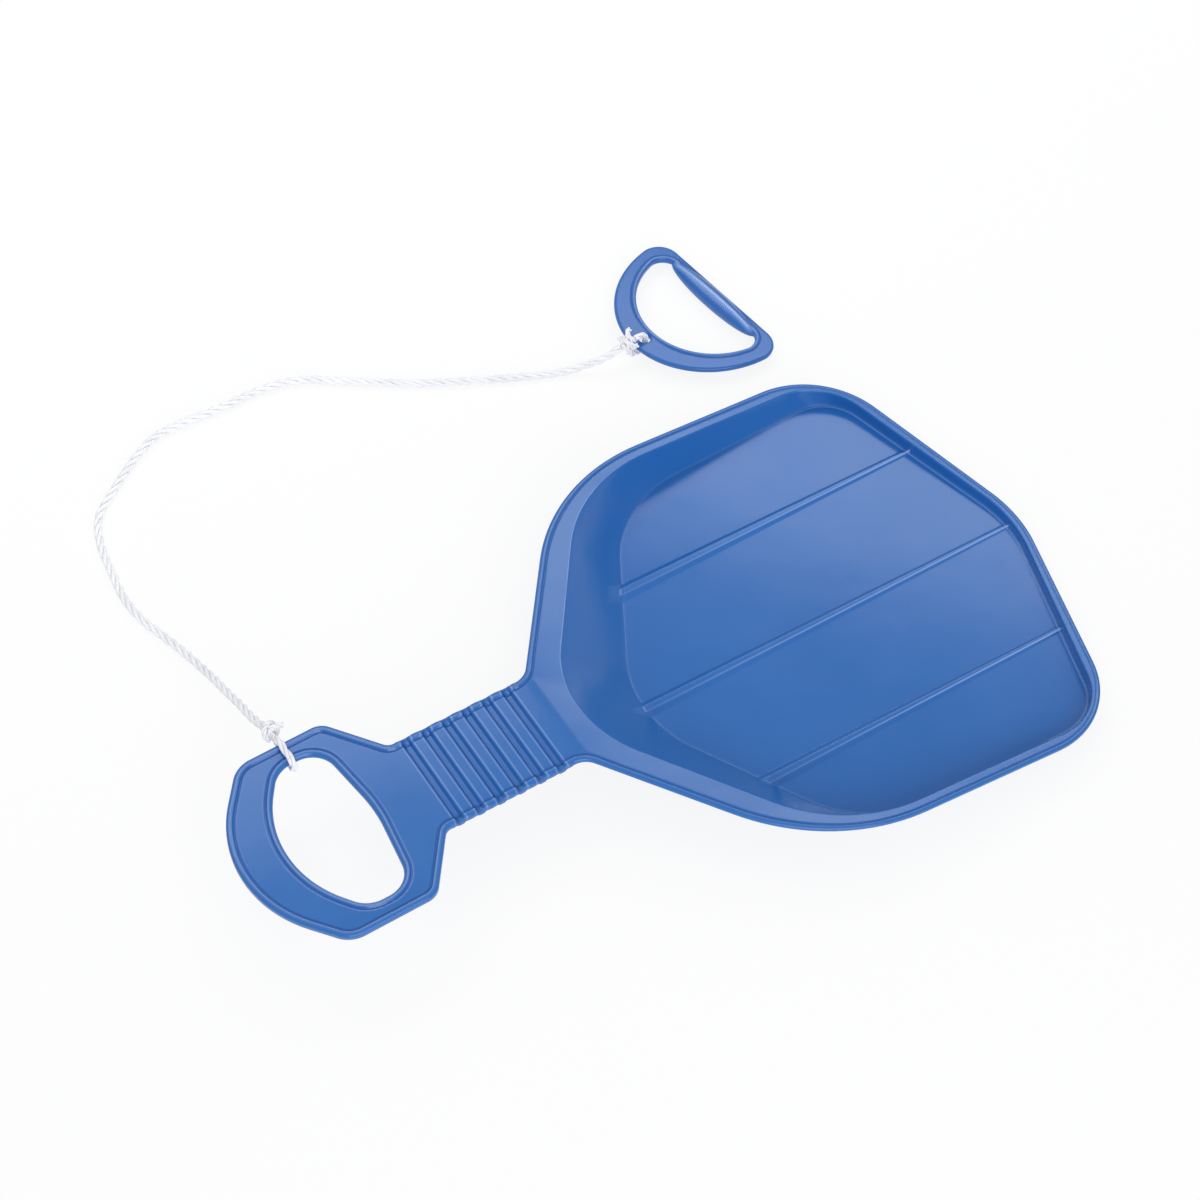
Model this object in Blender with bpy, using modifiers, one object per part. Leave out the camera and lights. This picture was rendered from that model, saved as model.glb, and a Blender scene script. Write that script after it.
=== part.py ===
"""A child's moulded snow sled with a ring handle, a tow rope and a pull grip.

The sled is one moulding: a shallow pan to sit in, a grooved neck and a ring handle in front.
Metres, +Z up. The pan's flat underside is z = 0, +Y points to the sled's rear and +X to its
right. The origin lies on the underside, on the centreline, near the middle of the pan.
"""
import math

import bmesh
import bpy
from mathutils import Matrix, Vector

# Sheet and clearances
SHEET = 0.0030            # wall of the moulding
GAP = 0.0003              # clearance between pieces that touch
ARC_STEPS = 10            # straight steps in each rounded corner

# Rim of the pan, seen from above
PAN_HALF_WIDTH = 0.1770   # at the rear corners, the widest place
FRONT_HALF_WIDTH = 0.1740
REAR_TIP_Y = 0.1925       # where the two rear edges would meet
REAR_CORNER_Y = 0.1464
FRONT_CORNER_Y = -0.0779
RIM_NECK_Y = -0.1802      # where the front edges meet the neck
REAR_TIP_RADIUS = 0.1000
REAR_CORNER_RADIUS = 0.0650
FRONT_CORNER_RADIUS = 0.1420
NECK_FILLET = 0.0160

# Rim heights over the ground
RIM_FRONT_HEIGHT = 0.0500
RIM_REAR_HEIGHT = 0.0099
HANDLE_FALL = 0.0032      # how far the ring handle falls from the neck to its nose edges

# Flat flange between the rim and the top of the wall
FLANGE_SIDE = 0.0085
FLANGE_REAR = 0.0053
FLANGE_REAR_CORNER = 0.0059
FLANGE_FRONT_CORNER = 0.0158
WALL_TOP_TIP = 0.0009     # how far in front of the neck corner the wall's front edges would meet
WALL_TOP_TIP_RADIUS = 0.0820
WALL_TOP_FRONT_RADIUS = 0.1100
WALL_TOP_REAR_RADIUS = 0.0460

# Slope of the wall, as the run from its top to its foot
WALL_RUN_FRONT = 0.0580
WALL_RUN_FRONT_CORNER = 0.0264
WALL_RUN_SIDE = 0.0087
WALL_RUN_REAR_SIDE = 0.0080
WALL_RUN_REAR = 0.0027
WALL_RUN_REAR_CORNER = 0.0010
FLOOR_TIP_RADIUS = 0.0870
FLOOR_FRONT_RADIUS = 0.0850
FLOOR_REAR_RADIUS = 0.0340

# Three raised ribs along the floor
RIB_COUNT = 3
RIB_SPACING = 0.0900
RIB_HEIGHT = 0.0025
RIB_REAR_HEIGHT = 0.0012
RIB_WIDTH = 0.0120
RIB_REAR_WIDTH = 0.0036
RIB_TOP_SHARE = 0.34      # width of a rib's top as a share of its foot
RIB_ROOT = 0.0005         # depth of a rib's foot in the floor
RIB_FRONT_RUN_IN = 0.0028
RIB_REAR_RUN_IN = 0.0015

# Neck with cross grooves
NECK_HALF_WIDTH = 0.0370
NECK_LENGTH = 0.1030
GROOVE_COUNT = 6
GROOVE_PITCH = 0.0150
GROOVE_INSET = 0.0170     # from the rim's neck corner to the nearest groove
GROOVE_WIDTH = 0.0062
GROOVE_FLOOR_WIDTH = 0.0026
GROOVE_DEPTH = 0.0024
LIP_START = 0.0110        # the rolled edge starts this far in front of the neck corner

# Ring handle
HANDLE_HALF_WIDTH = 0.0757
HANDLE_SHOULDER = 0.0289  # from the neck's end to the ring's front corners
HANDLE_SIDE = 0.0617
HANDLE_NOSE = 0.0596      # from the far corners to where the nose edges would meet
HANDLE_NECK_FILLET = 0.0069
HANDLE_CORNER_RADIUS = 0.0132
HANDLE_FAR_RADIUS = 0.0203
HANDLE_NOSE_RADIUS = 0.0855
LIP_DEPTH = 0.0045        # depth of the rolled edges, sheet included
BAR_NECK = 0.0312         # widths of the ring's bar, round the opening
BAR_CORNER = 0.0097
BAR_SIDE = 0.0161
BAR_FAR = 0.0214
BAR_NOSE = 0.0376
OPENING_NEAR_RADIUS = 0.0183
OPENING_FAR_RADIUS = 0.0198
OPENING_NOSE_RADIUS = 0.0778

# Rope and its knots
ROPE_RADIUS = 0.0030
HANDLE_KNOT_RADIUS = 0.0062
GRIP_KNOT_RADIUS = 0.0070
EYE_Y = -0.3420           # where the rope's eye goes round the handle's left bar
EYE_SHIFT = 0.0008        # the grip's eye runs this far behind the middle of its hole
GRIP_EYE_MOUTH = 38.0     # degrees from the knot to each end of the grip's eye
GRIP_KNOT_RISE = 45.0     # degrees from level up to the knot, which lies on the bow's edge
ROUTE_STEP = 0.0150
LAID_Z = ROPE_RADIUS + 0.0002

# D-shaped pull grip
GRIP_HALF_WIDTH = 0.0670
GRIP_DEPTH = 0.0747       # from the bar's middle to the top of the bow
GRIP_PLATE = 0.0045
GRIP_BAR_WIDTH = 0.0145
GRIP_BAR_THICKNESS = 0.0140
GRIP_BAR_LENGTH = 0.0900
GRIP_STRIP = 0.0072       # width of the plate along the bar
GRIP_CORNER_RADIUS = 0.0163
BOW_WIDTH_SIDE = 0.0128
BOW_WIDTH_TOP = 0.0182
GRIP_OPENING_RADIUS = 0.0120
ROPE_HOLE_RADIUS = 0.0042
ROPE_HOLE_WALL = 0.0056   # from the rope hole to the bow's outer edge
GRIP_BAR_X = -0.2771      # middle of the bar, where the grip lies
GRIP_BAR_Y = 0.1206
GRIP_TURN = 8.2           # degrees from the X axis to the bar
ROUND_STEPS = 24

# Colours, linear
BLUE = (0.058, 0.168, 0.479, 1.0)
WHITE = (0.80, 0.80, 0.83, 1.0)

# The rope's route on the ground and up to the handle, from the handle's knot to the grip's
ROPE_ROUTE = (
    (-0.1078, -0.3441, 0.0380),
    (-0.1286, -0.3441, 0.0290),
    (-0.1499, -0.3447, 0.0200),
    (-0.1660, -0.3452, 0.0142),
    (-0.1831, -0.3469, 0.0090),
    (-0.2056, -0.3507, 0.0048),
    (-0.2257, -0.3560, LAID_Z),
    (-0.2430, -0.3610, LAID_Z),
    (-0.2634, -0.3628, LAID_Z),
    (-0.2881, -0.3600, LAID_Z),
    (-0.3128, -0.3557, LAID_Z),
    (-0.3340, -0.3465, LAID_Z),
    (-0.3489, -0.3291, LAID_Z),
    (-0.3657, -0.3047, LAID_Z),
    (-0.3775, -0.2819, LAID_Z),
    (-0.3790, -0.2603, LAID_Z),
    (-0.3772, -0.2285, LAID_Z),
    (-0.3765, -0.1949, LAID_Z),
    (-0.3702, -0.1686, LAID_Z),
    (-0.3511, -0.1394, LAID_Z),
    (-0.3230, -0.0974, LAID_Z),
    (-0.2986, -0.0508, LAID_Z),
    (-0.2802, -0.0104, LAID_Z),
    (-0.2741, 0.0080, 0.0058),
    (-0.2680, 0.0240, 0.0115),
)


def clear_scene():
    """Take away whatever the file opened with."""
    for old in list(bpy.data.objects):
        bpy.data.objects.remove(old, do_unlink=True)


def new_collection(name):
    """A collection linked under the scene's own."""
    collection = bpy.data.collections.new(name)
    bpy.context.scene.collection.children.link(collection)
    return collection


def make_material(name, colour, roughness):
    """A plain material with the part's own colour."""
    material = bpy.data.materials.new(name)
    material.use_nodes = True
    shader = material.node_tree.nodes["Principled BSDF"]
    shader.inputs["Base Color"].default_value = colour
    shader.inputs["Roughness"].default_value = roughness
    shader.inputs["Metallic"].default_value = 0.0
    return material


def mesh_object(name, bm, collection, material):
    """An object that holds the bmesh."""
    mesh = bpy.data.meshes.new(name)
    bm.to_mesh(mesh)
    bm.free()
    mesh.materials.append(material)
    part = bpy.data.objects.new(name, mesh)
    collection.objects.link(part)
    return part


def boolean(part, tool, operation):
    """Join or cut the part with the tool, which stays as a guide."""
    tool.hide_render = True
    tool.display_type = 'WIRE'
    modifier = part.modifiers.new(tool.name, 'BOOLEAN')
    modifier.operation = operation
    modifier.solver = 'EXACT'
    modifier.object = tool


def rounded(corners):
    """Points of a closed outline whose corners, each (x, y, radius), are rounded by arcs.

    An arc reaches no farther along a side than its share of it, so neighbours never cross.
    """
    count = len(corners)
    places = [Vector((x, y)) for x, y, radius in corners]
    to_before = [(places[i - 1] - places[i]).normalized() for i in range(count)]
    to_after = [(places[(i + 1) % count] - places[i]).normalized() for i in range(count)]
    halves = [to_before[i].angle(to_after[i]) / 2 for i in range(count)]
    reaches = [corners[i][2] / math.tan(halves[i]) for i in range(count)]
    points = []
    for i in range(count):
        if reaches[i] == 0.0:
            points.append(places[i])
            continue
        reach = reaches[i]
        for other in (i - 1, (i + 1) % count):
            side = (places[other] - places[i]).length
            reach = min(reach, side * reaches[i] / (reaches[i] + reaches[other]))
        radius = reach * math.tan(halves[i])
        middle = places[i] + (to_before[i] + to_after[i]).normalized() * (radius / math.sin(halves[i]))
        start = places[i] + to_before[i] * reach - middle
        end = places[i] + to_after[i] * reach - middle
        turn = start.angle_signed(end)
        for step in range(ARC_STEPS + 1):
            spoke = start.copy()
            spoke.rotate(Matrix.Rotation(-turn * step / ARC_STEPS, 2))
            points.append(middle + spoke)
    return points


def mirrored(half):
    """Corners of a symmetric outline, from a half that runs from centreline to centreline."""
    inner = half[1:-1]
    return half + [(-x, y, radius) for x, y, radius in reversed(inner)]


def add_loop(bm, points, z=0.0):
    """A closed loop of edges through the points."""
    verts = [bm.verts.new((point.x, point.y, z)) for point in points]
    edges = [bm.edges.new((verts[i - 1], verts[i])) for i in range(len(verts))]
    return verts, edges


def span_at(points, x):
    """Lowest and highest y where the outline crosses the line at x."""
    crossings = []
    for before, after in zip(points[-1:] + points[:-1], points):
        if (before.x - x) * (after.x - x) <= 0 and before.x != after.x:
            share = (x - before.x) / (after.x - before.x)
            crossings.append(before.y + (after.y - before.y) * share)
    return min(crossings), max(crossings)


# Places along the neck and the handle
NECK_END_Y = RIM_NECK_Y - NECK_LENGTH
HANDLE_NEAR_Y = NECK_END_Y - HANDLE_SHOULDER
HANDLE_FAR_Y = HANDLE_NEAR_Y - HANDLE_SIDE
HANDLE_TIP_Y = HANDLE_FAR_Y - HANDLE_NOSE
LIP_END_Y = RIM_NECK_Y - LIP_START

# Wall top and wall foot, tied to the rim
WALL_TOP_FRONT_X = FRONT_HALF_WIDTH - FLANGE_SIDE
WALL_TOP_REAR_X = PAN_HALF_WIDTH - FLANGE_SIDE
WALL_TOP_FRONT_Y = FRONT_CORNER_Y + FLANGE_FRONT_CORNER
WALL_TOP_REAR_Y = REAR_CORNER_Y - FLANGE_REAR_CORNER
WALL_TOP_TIP_Y = RIM_NECK_Y - WALL_TOP_TIP
WALL_TOP_END_Y = REAR_TIP_Y - FLANGE_REAR


def rim_corners():
    """The outside edge of the pan, neck and handle, half of it."""
    return [
        (0.0, REAR_TIP_Y, REAR_TIP_RADIUS),
        (PAN_HALF_WIDTH, REAR_CORNER_Y, REAR_CORNER_RADIUS),
        (FRONT_HALF_WIDTH, FRONT_CORNER_Y, FRONT_CORNER_RADIUS),
        (NECK_HALF_WIDTH, RIM_NECK_Y, NECK_FILLET),
        (NECK_HALF_WIDTH, NECK_END_Y, HANDLE_NECK_FILLET),
        (HANDLE_HALF_WIDTH, HANDLE_NEAR_Y, HANDLE_CORNER_RADIUS),
        (HANDLE_HALF_WIDTH, HANDLE_FAR_Y, HANDLE_FAR_RADIUS),
        (0.0, HANDLE_TIP_Y, HANDLE_NOSE_RADIUS),
    ]


def wall_top_corners():
    """The inner edge of the flange, half of it."""
    return [
        (0.0, WALL_TOP_END_Y, REAR_TIP_RADIUS),
        (WALL_TOP_REAR_X, WALL_TOP_REAR_Y, WALL_TOP_REAR_RADIUS),
        (WALL_TOP_FRONT_X, WALL_TOP_FRONT_Y, WALL_TOP_FRONT_RADIUS),
        (0.0, WALL_TOP_TIP_Y, WALL_TOP_TIP_RADIUS),
    ]


def floor_corners():
    """The wall's foot, half of it."""
    return [
        (0.0, WALL_TOP_END_Y - WALL_RUN_REAR, REAR_TIP_RADIUS),
        (WALL_TOP_REAR_X - WALL_RUN_REAR_SIDE, WALL_TOP_REAR_Y + WALL_RUN_REAR_CORNER, FLOOR_REAR_RADIUS),
        (WALL_TOP_FRONT_X - WALL_RUN_SIDE, WALL_TOP_FRONT_Y + WALL_RUN_FRONT_CORNER, FLOOR_FRONT_RADIUS),
        (0.0, WALL_TOP_TIP_Y + WALL_RUN_FRONT, FLOOR_TIP_RADIUS),
    ]


def opening_corners():
    """The opening of the ring handle, half of it."""
    bar_x = HANDLE_HALF_WIDTH - BAR_SIDE
    return [
        (0.0, NECK_END_Y - BAR_NECK, 0.0),
        (bar_x, HANDLE_NEAR_Y - BAR_CORNER, OPENING_NEAR_RADIUS),
        (bar_x, HANDLE_FAR_Y + BAR_FAR, OPENING_FAR_RADIUS),
        (0.0, HANDLE_TIP_Y + BAR_NOSE, OPENING_NOSE_RADIUS),
    ]


def groove_lines():
    """Each line across the neck where a groove starts or ends, with its depth."""
    lines = []
    for index in range(GROOVE_COUNT):
        middle = RIM_NECK_Y - GROOVE_INSET - index * GROOVE_PITCH
        for side in (1, -1):
            lines.append((middle + side * GROOVE_WIDTH / 2, 0.0))
            lines.append((middle + side * GROOVE_FLOOR_WIDTH / 2, GROOVE_DEPTH))
    return sorted(lines)


def rim_height(y):
    """Height of the sheet's top: level over the neck, falling to the rear and to the nose."""
    to_rear = max(0.0, (y - RIM_NECK_Y) / (REAR_TIP_Y - RIM_NECK_Y))
    to_nose = max(0.0, (y - NECK_END_Y) / (HANDLE_TIP_Y - NECK_END_Y))
    height = RIM_FRONT_HEIGHT + (RIM_REAR_HEIGHT - RIM_FRONT_HEIGHT) * to_rear - HANDLE_FALL * to_nose
    lines = groove_lines()
    for (near_y, near_depth), (far_y, far_depth) in zip(lines, lines[1:]):
        if near_y <= y <= far_y:
            across = (y - near_y) / (far_y - near_y)
            height -= near_depth + (far_depth - near_depth) * across
            break
    return height


def top_sheet(bm):
    """The flange, neck and handle as one flat sheet, lifted to the rim's heights."""
    rim, rim_edges = add_loop(bm, rounded(mirrored(rim_corners())))
    wall_top, wall_edges = add_loop(bm, rounded(mirrored(wall_top_corners())))
    opening, opening_edges = add_loop(bm, rounded(mirrored(opening_corners())))
    edges = rim_edges + wall_edges + opening_edges
    bmesh.ops.triangle_fill(bm, use_beauty=True, edges=edges, normal=(0.0, 0.0, 1.0))
    cuts = [y for y, depth in groove_lines()] + [RIM_NECK_Y, LIP_END_Y, NECK_END_Y]
    for y in cuts:
        everything = bm.verts[:] + bm.edges[:] + bm.faces[:]
        bmesh.ops.bisect_plane(bm, geom=everything, dist=1e-6, plane_co=(0.0, y, 0.0), plane_no=(0.0, 1.0, 0.0))
    for vert in bm.verts:
        vert.co.z = rim_height(vert.co.y)
    return wall_top


def roll_edges(bm, wall_top):
    """Turn the edges of the handle, its opening and the neck down."""
    inner = set(wall_top)
    rolled = []
    for edge in bm.edges:
        is_wall = edge.verts[0] in inner
        in_front = all(vert.co.y < LIP_END_Y + 1e-5 for vert in edge.verts)
        if edge.is_boundary and in_front and not is_wall:
            rolled.append(edge)
    result = bmesh.ops.extrude_edge_only(bm, edges=rolled)
    for item in result["geom"]:
        if isinstance(item, bmesh.types.BMVert):
            item.co.z -= LIP_DEPTH


def wall_and_floor(bm, wall_top):
    """Loft the wall from the flange down to the floor, and close the floor."""
    foot, foot_edges = add_loop(bm, rounded(mirrored(floor_corners())), SHEET)
    for index in range(len(foot)):
        bm.faces.new((wall_top[index - 1], wall_top[index], foot[index], foot[index - 1]))
    bm.faces.new(foot)


def make_rib(name, x, collection, material):
    """A bar along the floor that narrows and sinks to the rear."""
    front, rear = span_at(rounded(mirrored(floor_corners())), x)
    bm = bmesh.new()
    bmesh.ops.create_cube(bm, size=1.0)
    for vert in bm.verts:
        at_rear = vert.co.y > 0
        at_top = vert.co.z > 0
        width = RIB_REAR_WIDTH if at_rear else RIB_WIDTH
        height = RIB_REAR_HEIGHT if at_rear else RIB_HEIGHT
        share = RIB_TOP_SHARE if at_top else 1.0
        vert.co.x = x + vert.co.x * width * share
        vert.co.y = rear + RIB_REAR_RUN_IN if at_rear else front - RIB_FRONT_RUN_IN
        vert.co.z = SHEET + height if at_top else SHEET - RIB_ROOT
    return mesh_object(name, bm, collection, material)


def make_shell(parts, cutters, material):
    """The sled's one moulding."""
    bm = bmesh.new()
    wall_top = top_sheet(bm)
    roll_edges(bm, wall_top)
    wall_and_floor(bm, wall_top)
    bmesh.ops.recalc_face_normals(bm, faces=bm.faces[:])
    floor = max(bm.faces, key=lambda face: face.calc_area())
    if floor.normal.z < 0:
        bmesh.ops.reverse_faces(bm, faces=bm.faces[:])
    shell = mesh_object("sled_shell", bm, parts, material)
    solid = shell.modifiers.new("Sheet", 'SOLIDIFY')
    solid.thickness = SHEET
    solid.offset = -1.0
    solid.use_even_offset = True
    solid.use_rim = True
    for index in range(RIB_COUNT):
        x = (index - (RIB_COUNT - 1) / 2) * RIB_SPACING
        rib = make_rib(f"floor_rib_{index + 1}", x, cutters, material)
        boolean(shell, rib, 'UNION')
    return shell


def smooth_curve(points, step):
    """Evenly spaced points on a smooth curve through the given ones."""
    knots = [points[0] * 2 - points[1]] + points + [points[-1] * 2 - points[-2]]
    fine = []
    for p0, p1, p2, p3 in zip(knots, knots[1:], knots[2:], knots[3:]):
        for sample in range(ROUND_STEPS):
            t = sample / ROUND_STEPS
            bend = p0 * 2 - p1 * 5 + p2 * 4 - p3
            twist = p1 * 3 - p0 - p2 * 3 + p3
            fine.append((p1 * 2 + (p2 - p0) * t + bend * t * t + twist * t ** 3) / 2)
    fine.append(points[-1])
    lengths = [0.0]
    for before, after in zip(fine, fine[1:]):
        lengths.append(lengths[-1] + (after - before).length)
    count = max(2, round(lengths[-1] / step))
    even = []
    place = 0
    for index in range(count + 1):
        target = lengths[-1] * index / count
        while place < len(lengths) - 2 and lengths[place + 1] < target:
            place += 1
        share = (target - lengths[place]) / (lengths[place + 1] - lengths[place])
        even.append(fine[place].lerp(fine[place + 1], share))
    return even


def make_tube(name, points, radius, collection, material, cyclic=False):
    """A round tube along the points, with closed ends."""
    data = bpy.data.curves.new(name, 'CURVE')
    data.dimensions = '3D'
    data.bevel_depth = radius
    data.bevel_resolution = 2
    data.use_fill_caps = not cyclic
    spline = data.splines.new('POLY')
    spline.points.add(len(points) - 1)
    for slot, point in zip(spline.points, points):
        slot.co = (point.x, point.y, point.z, 1.0)
    spline.use_cyclic_u = cyclic
    data.materials.append(material)
    tube = bpy.data.objects.new(name, data)
    collection.objects.link(tube)
    return tube


def make_knot(name, centre, radius, collection, material):
    """A knot as a ball of rope, since what it joins turns round its middle."""
    bm = bmesh.new()
    bmesh.ops.create_uvsphere(bm, u_segments=ROUND_STEPS, v_segments=ROUND_STEPS // 2, radius=radius)
    knot = mesh_object(name, bm, collection, material)
    knot.data.shade_smooth()
    knot.location = centre
    return knot


# The rope's eye round the left bar of the handle, and the knot outside it
EYE_OFFSET = ROPE_RADIUS + GAP
BAR_OUTER_X = -HANDLE_HALF_WIDTH
BAR_INNER_X = -(HANDLE_HALF_WIDTH - BAR_SIDE)
BAR_TOP_Z = rim_height(EYE_Y)
HANDLE_KNOT = Vector((
    BAR_OUTER_X - EYE_OFFSET - ROPE_RADIUS - GAP - HANDLE_KNOT_RADIUS,
    EYE_Y,
    BAR_TOP_Z - LIP_DEPTH / 2,
))


def make_handle_eye(collection, material):
    """A closed loop of rope round the handle's bar."""
    left = BAR_OUTER_X - EYE_OFFSET
    right = BAR_INNER_X + EYE_OFFSET
    top = BAR_TOP_Z + EYE_OFFSET
    bottom = BAR_TOP_Z - LIP_DEPTH - EYE_OFFSET
    corners = [(x, z, EYE_OFFSET) for x, z in ((left, top), (right, top), (right, bottom), (left, bottom))]
    points = [Vector((point.x, EYE_Y, point.y)) for point in rounded(corners)]
    return make_tube("handle_eye", points, ROPE_RADIUS, collection, material, cyclic=True)


# The rope's eye through the grip's hole: a ring round the bow's edge, on the grip's hinge axis
EDGE_TO_AXIS = ROPE_HOLE_WALL / 2
GRIP_EYE_RADIUS = EDGE_TO_AXIS + ROPE_HOLE_RADIUS + EYE_SHIFT
GRIP_KNOT_REACH = (GRIP_KNOT_RADIUS + GAP) / math.sin(math.radians(GRIP_EYE_MOUTH))
BAR_TO_AXIS = GRIP_DEPTH - EDGE_TO_AXIS
GRIP_ALONG = Vector((math.cos(math.radians(GRIP_TURN)), math.sin(math.radians(GRIP_TURN)), 0.0))
GRIP_OUT = Vector((GRIP_ALONG.y, -GRIP_ALONG.x, 0.0))
GRIP_AXIS = Vector((GRIP_BAR_X, GRIP_BAR_Y, GRIP_EYE_RADIUS + LAID_Z)) + GRIP_OUT * BAR_TO_AXIS


def round_grip_axis(degrees, radius):
    """The place at this angle over level and at this radius, on a circle round the grip's axis."""
    angle = math.radians(degrees)
    return GRIP_AXIS + (GRIP_OUT * math.cos(angle) + Vector((0.0, 0.0, math.sin(angle)))) * radius


GRIP_KNOT = round_grip_axis(GRIP_KNOT_RISE, GRIP_KNOT_REACH)
GRIP_DIP = math.asin((GRIP_AXIS.z - GRIP_BAR_THICKNESS / 2 - GAP) / BAR_TO_AXIS)


def make_grip_eye(collection, material):
    """An open ring of rope through the hole, both ends at the knot."""
    points = []
    steps = 2 * ROUND_STEPS
    first = GRIP_KNOT_RISE + GRIP_EYE_MOUTH
    around = 360.0 - 2 * GRIP_EYE_MOUTH
    for step in range(steps + 1):
        points.append(round_grip_axis(first + around * step / steps, GRIP_EYE_RADIUS))
    return make_tube("grip_eye", points, ROPE_RADIUS, collection, material)


def make_tow_rope(collection, material):
    """The free rope, from the handle's knot to the grip's knot."""
    route = [Vector(point) for point in ROPE_ROUTE]
    start = HANDLE_KNOT + (route[0] - HANDLE_KNOT).normalized() * (HANDLE_KNOT_RADIUS + GAP)
    end = GRIP_KNOT + (route[-1] - GRIP_KNOT).normalized() * (GRIP_KNOT_RADIUS + GAP)
    points = smooth_curve([start] + route + [end], ROUTE_STEP)
    return make_tube("tow_rope", points, ROPE_RADIUS, collection, material)


def d_corners(half_width, depth, foot_y, corner_radius):
    """Corners of a D: over an ellipse from right to left, and two rounded ones at its foot."""
    low_angle = math.asin((foot_y + corner_radius) / depth)
    points = []
    for step in range(ROUND_STEPS + 1):
        angle = low_angle + (math.pi - 2 * low_angle) * step / ROUND_STEPS
        points.append((half_width * math.cos(angle), depth * math.sin(angle), 0.0))
    foot_x = half_width * math.cos(low_angle)
    return points + [(-foot_x, foot_y, corner_radius), (foot_x, foot_y, corner_radius)]


def grip_outlines():
    """The grip's plate seen from above, bow upwards: outside, hand opening and rope hole."""
    bar_edge = GRIP_BAR_WIDTH / 2
    outside = d_corners(GRIP_HALF_WIDTH, GRIP_DEPTH, -bar_edge, GRIP_CORNER_RADIUS)
    hand_width = GRIP_HALF_WIDTH - BOW_WIDTH_SIDE
    hand_depth = GRIP_DEPTH - BOW_WIDTH_TOP
    hand = d_corners(hand_width, hand_depth, GRIP_STRIP - bar_edge, GRIP_OPENING_RADIUS)
    hole_y = GRIP_DEPTH - ROPE_HOLE_WALL - ROPE_HOLE_RADIUS
    hole = []
    for step in range(ROUND_STEPS):
        angle = 2 * math.pi * step / ROUND_STEPS
        x = ROPE_HOLE_RADIUS * math.cos(angle)
        hole.append((x, hole_y + ROPE_HOLE_RADIUS * math.sin(angle), 0.0))
    return [rounded(outside), rounded(hand), rounded(hole)]


def make_grip(parts, cutters, material):
    """The D-shaped grip: a flat bow and a swelled bar for the hand, on its hinge axis."""
    data = bpy.data.curves.new("grip_plate", 'CURVE')
    data.dimensions = '2D'
    data.fill_mode = 'BOTH'
    data.extrude = GRIP_PLATE / 2
    for outline in grip_outlines():
        spline = data.splines.new('POLY')
        spline.points.add(len(outline) - 1)
        for slot, point in zip(spline.points, outline):
            slot.co = (point.x, BAR_TO_AXIS - point.y, 0.0, 1.0)
        spline.use_cyclic_u = True
    flat = bpy.data.objects.new("grip_plate", data)
    parts.objects.link(flat)
    evaluated = flat.evaluated_get(bpy.context.evaluated_depsgraph_get())
    mesh = bpy.data.meshes.new_from_object(evaluated)
    bpy.data.objects.remove(flat, do_unlink=True)
    bm = bmesh.new()
    bm.from_mesh(mesh)
    bmesh.ops.remove_doubles(bm, verts=bm.verts, dist=1e-6)
    bmesh.ops.recalc_face_normals(bm, faces=bm.faces[:])
    grip = mesh_object("pull_grip", bm, parts, material)
    turn = Matrix.Rotation(math.radians(GRIP_TURN), 4, 'Z')
    dip = Matrix.Rotation(-GRIP_DIP, 4, 'X')
    grip.matrix_world = Matrix.Translation(GRIP_AXIS) @ turn @ dip
    bm = bmesh.new()
    stretch = Matrix.Diagonal((GRIP_BAR_LENGTH, GRIP_BAR_WIDTH, GRIP_BAR_THICKNESS, 1.0))
    along = Matrix.Rotation(math.radians(90.0), 4, 'Y')
    bmesh.ops.create_uvsphere(bm, u_segments=ROUND_STEPS, v_segments=ROUND_STEPS, radius=0.5,
                              matrix=stretch @ along)
    bar = mesh_object("grip_bar", bm, cutters, material)
    bar.matrix_world = grip.matrix_world @ Matrix.Translation((0.0, BAR_TO_AXIS, 0.0))
    boolean(grip, bar, 'UNION')
    return grip


def main():
    clear_scene()
    parts = new_collection("snow_sled")
    cutters = new_collection("snow_sled_cutters")
    blue = make_material("blue_plastic", BLUE, 0.38)
    grip_blue = make_material("grip_plastic", BLUE, 0.42)
    white = make_material("white_rope", WHITE, 0.85)
    make_shell(parts, cutters, blue)
    make_handle_eye(parts, white)
    make_knot("handle_knot", HANDLE_KNOT, HANDLE_KNOT_RADIUS, parts, white)
    make_tow_rope(parts, white)
    make_knot("grip_knot", GRIP_KNOT, GRIP_KNOT_RADIUS, parts, white)
    make_grip_eye(parts, white)
    make_grip(parts, cutters, grip_blue)


main()
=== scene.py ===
# %% [markdown]
# # A child's snow sled, with its tow rope and grip
#
# The real thing is one blue plastic moulding: a shallow pan to sit in, a grooved neck and a ring
# handle. A white rope is tied round the handle's bar, and a small D-shaped grip hangs on its other
# end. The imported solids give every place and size, so they are loaded first. The looks are then
# built over them, piece by piece, each riding on the body that carries it.

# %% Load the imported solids
import math

import bmesh
import bpy
from mathutils import Matrix, Quaternion, Vector
from mathutils.geometry import intersect_point_line
from mathutils.kdtree import KDTree


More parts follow.
